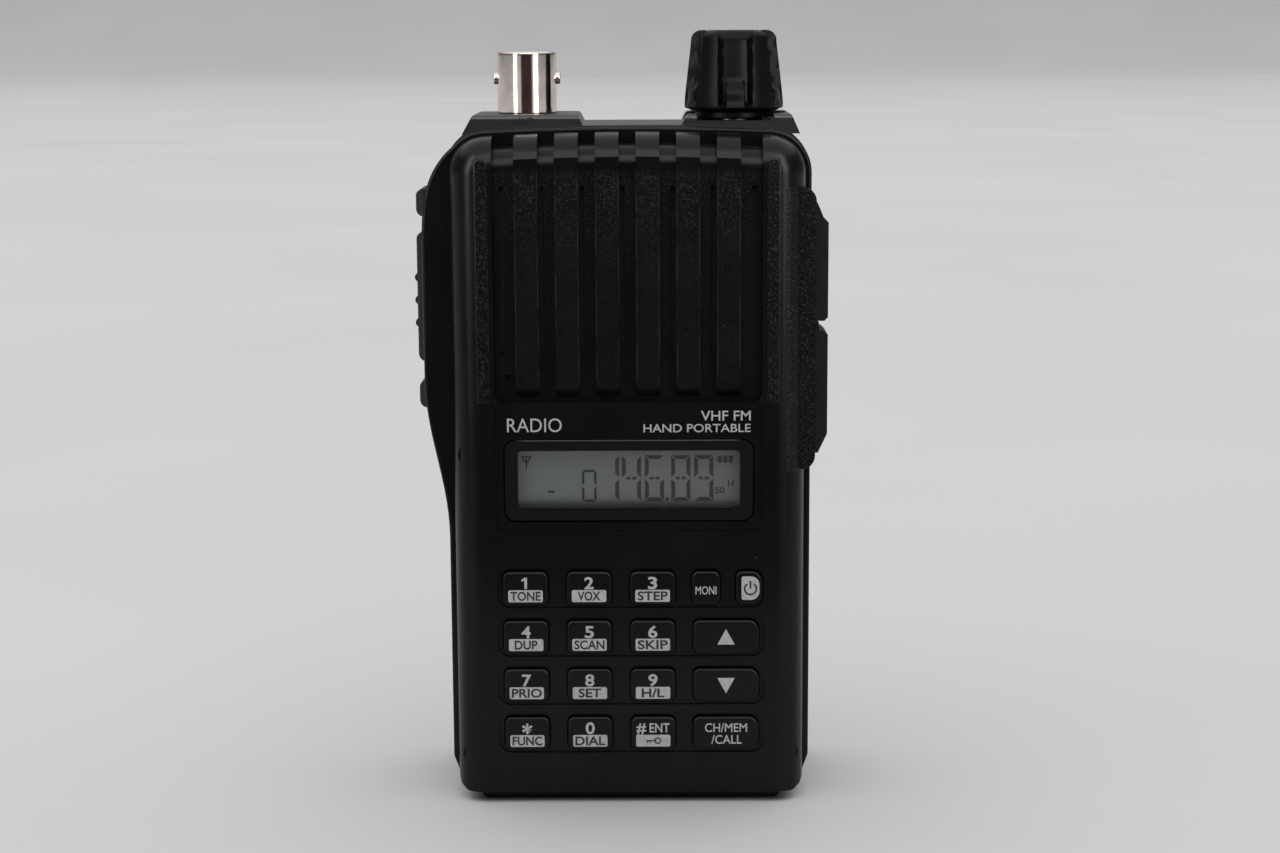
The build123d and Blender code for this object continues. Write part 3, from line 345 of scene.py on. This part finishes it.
panel = panel_plastic()
chassis_paint = moulded("chassis_paint", tone(24, 24, 25), 0.34, grain=0.2, depth=0.006,
                        specular_ior_level=0.7)
key_plastic = moulded("key_plastic", tone(13, 13, 15), 0.26, grain=0.16, depth=0.0015,
                      specular_ior_level=0.2)
knob_plastic = moulded("knob_plastic", tone(11, 11, 12), 0.36, grain=0.14, depth=0.003,
                       specular_ior_level=0.13)
button_rubber = moulded("button_rubber", tone(30, 30, 29), 0.55, grain=0.3, depth=0.008,
                        specular_ior_level=0.3)
cover_rubber = moulded("cover_rubber", tone(18, 18, 18), 0.50, grain=0.24, depth=0.006,
                       specular_ior_level=0.25)
battery_plastic = moulded("battery_plastic", tone(18, 18, 19), 0.52, grain=0.45, depth=0.02,
                          specular_ior_level=0.3)
clip_plastic = lever_plastic()
jack_plastic = moulded("jack_plastic", tone(14, 14, 14), 0.45)
seal_rubber = moulded("seal_rubber", tone(30, 30, 31), 0.7, grain=0.3)
mat_silicone = moulded("mat_silicone", tone(120, 122, 122), 0.6, grain=0.5)
socket_plastic = moulded("socket_plastic", tone(226, 222, 210), 0.35, grain=0.4)
cone_paper = moulded("cone_paper", tone(28, 28, 30), 0.7, grain=0.5, depth=0.02)
cell_wrap = moulded("cell_wrap", tone(60, 92, 150), 0.35, grain=0.6)
boot_rubber = moulded("boot_rubber", tone(26, 26, 27), 0.65)
nickel = metal("nickel", tone(236, 225, 214), 0.11, 0.0012, (1, 1, 8))
steel = metal("steel", tone(150, 150, 150), 0.32)
tinplate = metal("tinplate", tone(196, 196, 192), 0.34, 0.003)
gilt = metal("gilt", tone(232, 190, 110), 0.22)
ferrite = metal("ferrite", tone(70, 70, 74), 0.5)
board_finish = circuit_board()
cloth = woven_cloth()
display = display_glass(display_low, display_high)
lens = lens_plastic(lens_low, lens_high)
white_ink = printed_ink("white_ink", tone(206, 206, 202))
black_ink = printed_ink("black_ink", tone(22, 22, 22))
grey_ink = printed_ink("grey_ink", tone(150, 150, 148))
crystal_ink = printed_ink("crystal_ink", tone(50, 54, 56), 0.05)

node_finish = {
    "front_panel": panel, "rear_chassis": chassis_paint, "case_gasket": seal_rubber,
    "case_screws": steel, "speaker_mesh": cloth, "speaker_frame": tinplate,
    "speaker_cone": cone_paper, "speaker_magnet": ferrite, "microphone": boot_rubber,
    "lcd_lens": lens, "lcd_module": display, "keypad_mat": mat_silicone,
    "dome_sheet": steel, "keypad_board": board_finish, "main_board": board_finish,
    "board_shield": tinplate, "antenna_shell": nickel, "antenna_insulator": socket_plastic,
    "antenna_contact": gilt, "antenna_nut": nickel, "volume_knob": knob_plastic,
    "volume_shaft": steel, "volume_pot": tinplate, "ptt_button": button_rubber,
    "side_button_upper": button_rubber, "side_button_lower": button_rubber,
    "side_switches": board_finish, "jack_cover_base": cover_rubber,
    "jack_cover_flap": cover_rubber, "jack_cover_screw": steel, "speaker_jack": jack_plastic,
    "microphone_jack": jack_plastic, "battery_case": battery_plastic,
    "battery_cover": battery_plastic, "battery_contacts": gilt, "battery_cells": cell_wrap,
    "chassis_contacts": gilt, "battery_catch": clip_plastic, "clip_plate": steel,
    "clip_lever": clip_plastic, "clip_pin": steel, "clip_spring": steel, "clip_screws": steel,
}
for node_name, node in frame["nodes"].items():
    node.data.materials.clear()
    node.data.materials.append(node_finish.get(node_name, key_plastic))


# ---- mesh making --------------------------------------------------------------------------
class Shape:
    """Surfaces gathered into one piece: points in millimetres, faces, a finish for each."""

    def __init__(self):
        self.points = []
        self.faces = []
        self.finishes = []
        self.count = 0

    def add(self, points, faces, finish=0):
        points = np.asarray(points, float)
        self.points.append(points)
        self.faces += [tuple(int(i) + self.count for i in face) for face in faces]
        self.finishes += [finish] * len(faces)
        self.count += len(points)

    def piece(self, name, body, slot, finishes, smooth_angle=35.0):
        """Makes the object, with its place in its mesh, and lets it ride on a body."""
        mesh = bpy.data.meshes.new(name)
        mesh.from_pydata((np.vstack(self.points) * mm).tolist(), [], self.faces)
        for finish in finishes:
            mesh.materials.append(finish)
        mesh.polygons.foreach_set("material_index", self.finishes)
        shell = bmesh.new()
        shell.from_mesh(mesh)
        bmesh.ops.recalc_face_normals(shell, faces=shell.faces)
        shell.to_mesh(mesh)
        shell.free()
        mesh.shade_smooth()
        mesh.set_sharp_from_angle(angle=math.radians(smooth_angle))
        made = add_object(name, mesh)
        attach(made, body)
        return made


def net(rows, columns, wrap_rows=False, wrap_columns=True):
    """Quads between neighbouring points of a grid of rows and columns."""
    row, column = np.meshgrid(np.arange(rows - (not wrap_rows)),
                              np.arange(columns - (not wrap_columns)), indexing="ij")
    next_row, next_column = (row + 1) % rows, (column + 1) % columns
    quads = [row * columns + column, row * columns + next_column,
             next_row * columns + next_column, next_row * columns + column]
    return np.stack(quads, -1).reshape(-1, 4)


def turned(profile, centre, count=96):
    """A closed profile of radius and height, swept round an upright axis: the point at angle t
    is centre + radius * (cos t, sin t)."""
    radius, height = np.asarray(profile, float).T
    angle = np.linspace(0, 2 * np.pi, count, endpoint=False)
    points = np.stack([centre[0] + np.outer(radius, np.cos(angle)),
                       centre[1] + np.outer(radius, np.sin(angle)),
                       np.repeat(height[:, None], count, 1)], -1)
    return points.reshape(-1, 3), net(len(radius), count, wrap_rows=True)


def arc(centre, radius, start, end, steps):
    """Points on a circle between two angles in degrees."""
    angle = np.radians(np.linspace(start, end, steps))
    return np.stack([centre[0] + radius * np.cos(angle), centre[1] + radius * np.sin(angle)], -1)


# ---- volume knob --------------------------------------------------------------------------
flute_count = 5
flute_half = 2.65
flute_depth = 1.5


def knob_grip():
    """A turned blank with a closed outline of (radius, height). Five flutes are cut square to
    the outline: a point moves in by flute_depth where it lies less than flute_half to the
    side of a flute's middle line, with a ramp of 0.3 mm at each wall. A raised block stands
    in the foot of each flute."""
    low, high = corners("volume_knob")
    middle = (low + high) / 2
    rim = (high[0] - low[0]) / 2
    floor, top, seat = low[2], high[2], low[2] + 1.2
    outline = np.vstack([
        [[3.02, floor], [6.1, floor], [6.35, floor + 0.25], [6.35, seat - 0.25]],
        arc((6.6, seat - 0.25), 0.25, 180, 90, 4),
        np.linspace([6.9, seat], [rim - 0.5, seat + 0.35], 4),
        arc((rim - 0.35, seat + 0.7), 0.35, -60, 0, 5),
        np.linspace([rim, seat + 1.1], [rim - 0.05, seat + 2.0], 3),
        np.linspace([rim - 0.08, seat + 2.4], [rim - 1.05, top - 1.75], 22),
        arc((rim - 2.65, top - 1.62), 1.6, 4, 84, 14),
        np.linspace([rim - 2.9, top - 0.02], [1.6, top], 10),
        [[0.02, top], [0.02, top - 3.0], [3.02, top - 3.0]]])
    radius, height = outline.T
    along = np.gradient(outline, axis=0)
    along /= np.maximum(np.linalg.norm(along, axis=1, keepdims=True), 1e-9)
    normal = np.stack([along[:, 1], -along[:, 0]], -1)
    count = flute_count * 56
    angle = np.linspace(0, 2 * np.pi, count, endpoint=False) - np.pi / 2
    pitch = 2 * np.pi / flute_count
    turn = (angle + np.pi / 2 + pitch / 2) % pitch - pitch / 2
    aside = np.abs(radius[:, None] * np.sin(turn)[None, :])
    groove = 1 - np.clip((aside - flute_half + 0.15) / 0.3, 0, 1)
    open_share = np.clip((height - seat - 0.95) / 0.25, 0, 1) * np.clip((radius - 4.2) / 1.4, 0, 1)
    open_share[:4] = 0
    open_share[-3:] = 0
    raised = np.clip((1.85 - aside) / 0.3, 0, 1) * np.clip((seat + 5.1 - height) / 1.9, 0, 1)[:, None]
    cut = flute_depth * groove * open_share[:, None] * (1 - 0.72 * raised)
    r = radius[:, None] - cut * normal[:, :1]
    z = height[:, None] - cut * normal[:, 1:]
    points = np.stack([middle[0] + r * np.cos(angle), middle[1] + r * np.sin(angle), z], -1)
    shape = Shape()
    shape.add(points.reshape(-1, 3), net(len(radius), count, wrap_rows=True))
    made = shape.piece("knob_grip", "knob", "knob_plastic", [knob_plastic], 40)
    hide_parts("volume_knob")


knob_grip()


# ---- antenna socket -----------------------------------------------------------------------
def bayonet_barrel():
    """Thin-walled barrel turned from a closed (radius, height) outline, and two round lugs,
    each a lathe about the X axis with a domed end."""
    low, high = corners("antenna_shell")
    centre = (low + high)[:2] / 2
    top = high[2]
    barrel, bush, bore, through, seat = 4.83, 4.5, 4.1, 2.9, 112.15
    bore_floor = top - 8.9
    outline = np.vstack([
        [[through, low[2]], [bush, low[2]], [bush, seat - 0.05], [barrel - 0.1, seat]],
        np.linspace([barrel, seat + 0.1], [barrel, top - 0.5], 6),
        arc((barrel - 0.25, top - 0.25), 0.25, 0, 90, 6),
        arc((bore + 0.22, top - 0.22), 0.22, 90, 180, 6),
        [[bore, bore_floor + 0.2], [bore - 0.2, bore_floor], [through, bore_floor]]])
    shape = Shape()
    shape.add(*turned(outline, centre, 128))
    lug_z, lug_radius, lug_reach = 117.7, 1.0, (high[0] - low[0]) / 2
    steps = np.vstack([[[0.02, barrel - 0.35], [lug_radius, barrel - 0.35]],
                       [[lug_radius, lug_reach - 0.25]],
                       arc((lug_radius - 0.25, lug_reach - 0.25), 0.25, 0, 90, 5),
                       [[0.02, lug_reach]]])
    for side in (-1, 1):
        points, faces = turned(steps, (0, 0), 32)
        placed = np.stack([centre[0] + side * points[:, 2], centre[1] + points[:, 0],
                           lug_z + points[:, 1]], -1)
        shape.add(placed, faces)
    made = shape.piece("bayonet_barrel", "radio", "nickel", [nickel], 30)
    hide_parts("antenna_shell")


bayonet_barrel()


# ---- print on the keys, the name strip, the bosses and the battery ------------------------
def word_outline(text, weight=0.0):
    """Points and faces of a word in a plain sans letter, lying flat and centred, at a type
    size of 1 and with a thickness of 1 that the caller flattens."""
    curve = bpy.data.curves.new("word", "FONT")
    curve.body = text
    curve.align_x = "CENTER"
    curve.resolution_u = 4
    curve.extrude = 0.5
    curve.offset = weight
    word = add_object("word", curve)
    bpy.context.view_layer.update()
    mesh = bpy.data.meshes.new_from_object(word.evaluated_get(
        bpy.context.evaluated_depsgraph_get()))
    shell = bmesh.new()
    shell.from_mesh(mesh)
    bmesh.ops.remove_doubles(shell, verts=shell.verts, dist=1e-4)
    points = np.array([vertex.co for vertex in shell.verts])
    faces = [tuple(vertex.index for vertex in face.verts) for face in shell.faces]
    shell.free()
    bpy.data.objects.remove(word)
    bpy.data.curves.remove(curve)
    bpy.data.meshes.remove(mesh)
    return points, faces


capital_height = np.ptp(word_outline("H")[0][:, 1])
ink_thickness = 0.02


class Print:
    """Flat print on an upright face of the radio at depth y, its inks numbered 0 and 1. The
    face looks forwards, or backwards with x turned round so that words still read."""

    def __init__(self, y, thickness=ink_thickness, backwards=False):
        self.y = y
        self.thickness = thickness
        self.outward = 1 if backwards else -1
        self.shape = Shape()

    def lay(self, flat, faces, lift, ink):
        """Stands points (x, z, thickness from -0.5 to 0.5) on the face, lifted off it."""
        flat = np.asarray(flat, float)
        depth = self.y + self.outward * (lift + self.thickness * (flat[:, 2] + 0.5))
        self.shape.add(np.stack([-self.outward * flat[:, 0], depth, flat[:, 1]], -1), faces, ink)

    def word(self, text, x, z, height, width=None, weight=0.0, lift=0.0, ink=0):
        """A word centred at x, z with its capitals that high, squeezed to a width."""
        points, faces = word_outline(text, weight)
        points[:, 0] -= (points[:, 0].max() + points[:, 0].min()) / 2
        across = height / capital_height
        if width:
            across = width / np.ptp(points[:, 0])
        flat = np.stack([x + points[:, 0] * across,
                         z - height / 2 + points[:, 1] * height / capital_height,
                         points[:, 2]], -1)
        self.lay(flat, faces, lift, ink)

    def slab(self, outline, lift=0.0, ink=0):
        """A flat patch with any outline of x and z, closed round its edge."""
        outline = np.asarray(outline, float)
        count = len(outline)
        flat = np.vstack([np.c_[outline, np.full(count, -0.5)], np.c_[outline, np.full(count, 0.5)]])
        faces = [tuple(range(count)), tuple(range(2 * count - 1, count - 1, -1))]
        faces += [(i, (i + 1) % count, (i + 1) % count + count, i + count) for i in range(count)]
        self.lay(flat, faces, lift, ink)

    def box(self, x, z, width, height, radius, lift=0.0, ink=0):
        """A rounded box; radius is one value, or the left and the right corners' values."""
        left, right = np.broadcast_to(radius, 2)
        half_w, half_h = width / 2, height / 2
        turns = ((half_w - right, half_h - right, right, 0),
                 (left - half_w, half_h - left, left, 90),
                 (left - half_w, left - half_h, left, 180),
                 (half_w - right, right - half_h, right, 270))
        self.slab(np.vstack([arc((x + dx, z + dz), r, start, start + 90, 7)
                             for dx, dz, r, start in turns]), lift, ink)

    def stroke(self, path, width, lift=0.0, ink=0):
        """A line of even width along a path of x and z: each point moves half the width to
        either side, square to the path."""
        path = np.asarray(path, float)
        along = np.gradient(path, axis=0)
        along /= np.linalg.norm(along, axis=1, keepdims=True)
        off = np.stack([-along[:, 1], along[:, 0]], -1) * width / 2
        self.slab(np.vstack([path + off, (path - off)[::-1]]), lift, ink)

    def piece(self, name, body, slot, inks):
        return self.shape.piece(name, body, slot, inks)


key_inks = [white_ink, black_ink]
box_drop, box_width, box_height = 1.22, 5.6, 2.0
sign_rise, thin_line = 0.95, 0.2
box_words = {"key_1": "TONE", "key_2": "VOX", "key_3": "STEP", "key_4": "DUP", "key_5": "SCAN",
             "key_6": "SKIP", "key_7": "PRIO", "key_8": "SET", "key_9": "H/L",
             "key_star": "FUNC", "key_0": "DIAL"}


def key_middle(node):
    """Middle of a key's face and its depth; the flange behind it is the same all round."""
    low, high = corners(node)
    return (low[0] + high[0]) / 2, (low[2] + high[2]) / 2, low[1]


def boxed_key(node):
    """A number or sign over a filled box that holds the key's second use."""
    x, z, face = key_middle(node)
    ink = Print(face)
    sign = {"key_star": "*", "key_hash": "#"}.get(node, node[-1])
    if node == "key_hash":
        ink.word(sign, x - 1.95, z + sign_rise, 1.75, weight=0.02)
        ink.word("ENT", x + 1.05, z + sign_rise, 1.5, width=3.3, weight=0.02)
    elif node == "key_star":
        ink.word(sign, x, z + 0.25, 2.6, weight=0.02)
    elif node == "key_1":
        ink.stroke([(x + 0.05, z - 0.01), (x + 0.05, z + 1.86)], 0.44)
        ink.slab([(x - 0.17, z + 1.86), (x - 0.17, z + 1.42), (x - 0.62, z + 1.18),
                  (x - 0.62, z + 1.52)])
    else:
        ink.word(sign, x, z + 0.92, 1.87, width=1.5, weight=0.024)
    box_z = z - box_drop
    lift = ink_thickness
    ink.box(x, box_z, box_width, box_height, 0.3)
    if node == "key_hash":
        # a small key: a ring, a shaft and two teeth
        ink.stroke(arc((x + 0.75, box_z), 0.46, 0, 360, 25), thin_line, lift, 1)
        ink.stroke([(x - 1.1, box_z), (x + 0.25, box_z)], thin_line, lift, 1)
        for tooth in (-1.0, -0.55):
            ink.stroke([(x + tooth, box_z), (x + tooth, z - 1.58)], thin_line, lift, 1)
    else:
        text = box_words[node]
        ink.word(text, x, box_z, 1.4, width=1.2 * len(text) + 0.1, weight=0.022,
                 lift=lift, ink=1)
    ink.piece(f"print_{node}", body_of_node[node], "key_plastic", key_inks)


for key_node in [*box_words, "key_hash"]:
    boxed_key(key_node)


def arrow_key(node, point):
    """A filled triangle that points up or down."""
    x, z, face = key_middle(node)
    ink = Print(face)
    ink.slab([(x - 1.42, z - 1.25 * point), (x + 1.42, z - 1.25 * point), (x, z + 1.35 * point)])
    ink.piece(f"print_{node}", body_of_node[node], "key_plastic", key_inks)


arrow_key("key_up", 1)
arrow_key("key_down", -1)


def power_key():
    """A D-shaped patch with the on-off sign: an open ring and a bar."""
    x, z, face = key_middle("key_power")
    sign_x, sign_line = x + 0.25, 0.28
    ink = Print(face)
    ink.box(sign_x, z, 2.9, 3.9, (0.35, 1.35))
    ink.stroke(arc((sign_x, z - 0.1), 0.95, 125, 415, 30), sign_line, ink_thickness, 1)
    ink.stroke([(sign_x, z - 0.05), (sign_x, z + 1.2)], sign_line, ink_thickness, 1)
    ink.piece("print_key_power", body_of_node["key_power"], "key_plastic", key_inks)


power_key()


def worded_keys():
    """The two keys that carry only words."""
    x, z, face = key_middle("key_monitor")
    ink = Print(face)
    ink.word("MONI", x, z - 0.35, 1.3, width=3.4, weight=0.01)
    ink.piece("print_key_monitor", body_of_node["key_monitor"], "key_plastic", key_inks)
    x, z, face = key_middle("key_call")
    ink = Print(face)
    ink.word("CH/MEM", x, z + 0.95, 1.42, width=6.9, weight=0.01)
    ink.word("/CALL", x + 0.1, z - 1.05, 1.42, width=5.0, weight=0.01)
    ink.piece("print_key_call", body_of_node["key_call"], "key_plastic", key_inks)


worded_keys()


def name_strip():
    """Plain words on the strip over the display."""
    ink = Print(lens_low[1] - 0.25)
    ink.word("RADIO", -15.1, 62.95, 2.2, width=8.8)
    ink.word("VHF FM", 15.6, 64.4, 1.55, width=8.0, weight=0.01)
    ink.word("HAND PORTABLE", 11.0, 62.4, 1.3, width=17.2, weight=0.008)
    ink.piece("print_name_strip", "radio", "case_plastic", [white_ink])


name_strip()


def raised_words():
    """Small raised letters on the front of the two bosses."""
    letters = Print(boss_front, 0.12)
    for word, x in (("ANT", -16.4), ("VOL", 22.8)):
        letters.word(word, x, 111.2, 0.85, weight=0.01)
    letters.piece("boss_letters", "radio", "chassis_metal", [chassis_paint])


raised_words()


def battery_print():
    """General notes in the shallow panel on the back of the battery."""
    ink = Print(battery_panel_y, backwards=True)
    note_height, frame_side, sign_line = 1.35, 4.4, 0.5
    ink.word("RECHARGEABLE BATTERY PACK", 0, 38.6, 1.9, width=32.0, weight=0.01)
    ink.stroke([(-17.0, 36.2), (17.0, 36.2)], 0.25)
    ink.word("7.2 V", -10.6, 32.2, 2.6, width=9.4, weight=0.01)
    ink.word("2000 mAh", 7.4, 32.2, 2.6, width=16.0, weight=0.01)
    for row, (words, width) in enumerate((("CHARGE ONLY WITH THE MATCHING CHARGER", 34.0),
                                          ("DO NOT SHORT THE CONTACTS", 23.0),
                                          ("KEEP AWAY FROM FIRE AND WATER", 26.6))):
        ink.word(words, 0, 26.4 - 3.1 * row, note_height, width=width, weight=0.005)
    for x, z in ((-17.0, 11.2), (12.6, 11.2)):
        right, top = x + frame_side, z + frame_side
        ink.stroke([(x, z), (right, z), (right, top), (x, top), (x, z - 0.12)], 0.24)
    # a minus in the left frame and a plus in the right
    for x in (-16.0, 13.6):
        ink.stroke([(x, 13.4), (x + 2.4, 13.4)], sign_line)
    ink.stroke([(14.8, 12.2), (14.8, 14.6)], sign_line, lift=0.002)
    ink.word("FOR HAND PORTABLES", 0, 13.4, note_height, width=18.0, weight=0.005)
    ink.piece("print_battery", "battery_pack", "battery_plastic", [grey_ink])


battery_print()


# ---- what the display shows ----------------------------------------------------------------
digit_segments = {"0": "abcdef", "1": "bc", "4": "fgbc", "5": "afgcd", "6": "afgedc",
                  "8": "abcdefg", "9": "abcdfg"}


def digit(ink, sign, x, z, width, height, bar):
    """Seven-bar figure with its lower left corner at x, z. Bars are mitred 0.12 short of
    each other; the middle bar is split in two short dashes."""
    segments = digit_segments[sign]
    gap = 0.12
    tall = height / 2
    ends = {"a": ((0, height), (width, height)), "d": ((0, 0), (width, 0)),
            "f": ((0, height), (0, tall)), "b": ((width, height), (width, tall)),
            "e": ((0, tall), (0, 0)), "c": ((width, tall), (width, 0))}
    inward = {"a": (0, -1), "d": (0, 1), "f": (1, 0), "e": (1, 0), "b": (-1, 0), "c": (-1, 0)}
    for segment in segments:
        if segment == "g":
            half, point = 0.36 * bar, 0.3 * bar
            for start in (bar, width / 2 + gap / 2):
                end = start + width / 2 - bar - gap / 2
                ink.slab([(x + start, z + tall), (x + start + point, z + tall + half),
                          (x + end - point, z + tall + half), (x + end, z + tall),
                          (x + end - point, z + tall - half),
                          (x + start + point, z + tall - half)])
            continue
        start, end = np.array(ends[segment], float)
        step = (end - start) / np.linalg.norm(end - start)
        side = np.array(inward[segment], float) * bar
        corner = np.array([x, z])
        ink.slab([corner + start + step * gap, corner + end - step * gap,
                  corner + end - step * (gap + bar) + side,
                  corner + start + step * (gap + bar) + side])


def display_print():
    """A channel figure, a frequency and small signs, inside the display glass."""
    ink = Print(display_low[1] - 0.03)
    middle = (lens_low + lens_high) / 2
    base = middle[2] - 3.85
    tall, wide, pitch, bar = 7.55, 3.1, 3.72, 0.64
    start = -1.15
    digit(ink, "1", start - wide - 0.45, base, wide, tall, bar)
    for step, sign in enumerate("46"):
        digit(ink, sign, start + step * pitch, base, wide, tall, bar)
    ink.box(start + 2 * pitch - 0.12, base + 0.3, 0.5, 0.6, 0.15)
    for step, sign in enumerate("89"):
        digit(ink, sign, start + 0.55 + (step + 2) * pitch, base, wide, tall, bar)
    digit(ink, "0", -7.62, base - 0.1, 2.35, 5.3, 0.4)
    ink.word("50", 14.7, base + 1.75, 0.95, width=1.55, weight=0.02)
    ink.word("H", 16.5, base + 2.85, 1.0, width=0.9, weight=0.02)
    ink.stroke([(-13.2, base + 1.6), (-12.1, base + 1.6)], 0.34)
    mast, crown, arm = -16.6, base + 7.4, 0.75
    ink.stroke([(mast, base + 5.4), (mast, crown)], thin_line)
    for side in (-1, 1):
        ink.stroke([(mast, base + 6.3), (mast + side * arm, crown)], thin_line)
    ink.stroke([(mast - arm, crown), (mast + arm, crown)], thin_line)
    for cell in range(3):
        ink.box(14.75 + 0.86 * cell, base + 6.85, 0.7, 1.15, 0.1)
    ink.box(14.2, base + 6.85, 0.25, 0.5, 0.05)
    ink.piece("display_print", "radio", "display", [crystal_ink])


display_print()


# ---- camera, light and floor ---------------------------------------------------------------
def camera():
    """A long lens in front of the radio, a little above it and looking slightly down."""
    data = bpy.data.cameras.new("camera")
    data.lens = 66.8
    data.sensor_width = 36.0
    data.clip_start = 0.01
    data.clip_end = 50.0
    made = add_object("camera", data)
    place = Matrix.Translation((0.0044, -0.3904, 0.127))
    for angle, axis in ((0.39, "Z"), (80.28, "X"), (-0.30, "Z")):
        place = place @ Matrix.Rotation(math.radians(angle), 4, axis)
    made.matrix_world = place
    bpy.context.scene.camera = made


def softbox(name, place, target, width, height, power):
    """A soft area light at one point, facing another, that only gives highlights."""
    data = bpy.data.lights.new(name, "AREA")
    data.shape = "RECTANGLE"
    data.size = width
    data.size_y = height
    data.energy = power
    made = add_object(name, data)
    made.location = place
    aim = np.array(target) - np.array(place)
    yaw = math.atan2(aim[1], aim[0])
    tilt = math.atan2(-aim[2], math.hypot(aim[0], aim[1]))
    made.rotation_euler = (math.pi / 2 - tilt, 0.0, yaw - math.pi / 2)
    made.visible_camera = False
    made.visible_diffuse = False


def room():
    """A pale sweep in grey card, in metres: a floor to y = start, then a quarter circle of
    radius bend, where a point at angle t is (start + bend * sin t, bend * (1 - cos t)), then
    a wall. The path is repeated at three values of x."""
    reach, bend, start, wall_top = 9.0, 0.9, 5.3, 4.0
    angle = np.linspace(0.1, np.pi / 2, 14)
    quarter = np.stack([start + bend * np.sin(angle), bend * (1 - np.cos(angle))], -1)
    path = np.vstack([[[-reach, 0.0]], np.linspace([-1.5, 0], [start, 0], 6), quarter,
                      [[start + bend, wall_top]]])
    across = np.linspace(-6.0, 6.0, 3)
    points = np.stack([np.tile(across, len(path)), np.repeat(path[:, 0], 3),
                       np.repeat(path[:, 1], 3)], -1)
    mesh = bpy.data.meshes.new("floor")
    mesh.from_pydata(points.tolist(), [], net(len(path), 3, wrap_columns=False).tolist())
    mesh.shade_smooth()
    floor = add_object("floor", mesh)
    paper = Finish("grey_card")
    fibre = paper.noise(0.8, 4.0)
    cloud = paper.noise(260.0, 2.0)
    mesh.materials.append(paper.surface(
        base_color=paper.mix(cloud.rise(0.3, 0.7), tone(219, 219, 221), tone(224, 223, 222)),
        roughness=0.85 + 0.1 * (fibre - 0.5), specular_ior_level=0.0,
        normal=paper.relief(0.02 * fibre)))


def flag():
    """A dark cloth hung behind the camera and another laid over the table below it, seen
    only in what the radio reflects."""
    laid_half, hung_half, hung_y, hung_top = 1.0, 0.31, -0.8, 0.34
    points = [(x, y, 0.001) for y in (-0.13, -0.6) for x in (-laid_half, laid_half)]
    points += [(x, hung_y, z) for z in (0.0, hung_top) for x in (-hung_half, hung_half)]
    mesh = bpy.data.meshes.new("dark_flag")
    mesh.from_pydata(points, [], [(0, 1, 3, 2), (4, 5, 7, 6)])
    cloth_finish = Finish("dark_cloth")
    weave = cloth_finish.noise(2.0, 2.0)
    mesh.materials.append(cloth_finish.surface(
        base_color=cloth_finish.mix(weave, tone(42, 24, 22), tone(62, 36, 32)), roughness=0.9))
    made = add_object("dark_flag", mesh)
    made.visible_camera = False
    made.visible_diffuse = False
    made.visible_shadow = False


def daylight():
    """A broad even light from above, three softboxes in front for the highlights, and a dim
    room."""
    sky = bpy.data.lights.new("sky_panel", "SUN")
    sky.energy = 2.25
    sky.angle = math.radians(110)
    made = add_object("sky_panel", sky)
    made.rotation_euler = (math.radians(-8), 0.0, 0.0)
    case_middle, case_top = (0.0, 0.0, 0.07), (0.0, 0.0, 0.1)
    softbox("left_strip", (-0.70, -0.72, 0.45), case_middle, 0.22, 0.9, 4.4)
    softbox("right_strip", (0.60, -0.80, 0.45), case_middle, 0.30, 0.9, 5.6)
    softbox("high_box", (0.0, -0.62, 0.52), case_top, 0.6, 0.42, 2.2)
    world = bpy.data.worlds.new("room")
    world.use_nodes = True
    back = world.node_tree.nodes["Background"]
    back.inputs["Color"].default_value = (0.60, 0.61, 0.63, 1.0)
    back.inputs["Strength"].default_value = 0.30
    bpy.context.scene.world = world


camera()
room()
flag()
daylight()
bpy.context.scene.view_settings.view_transform = "Standard"
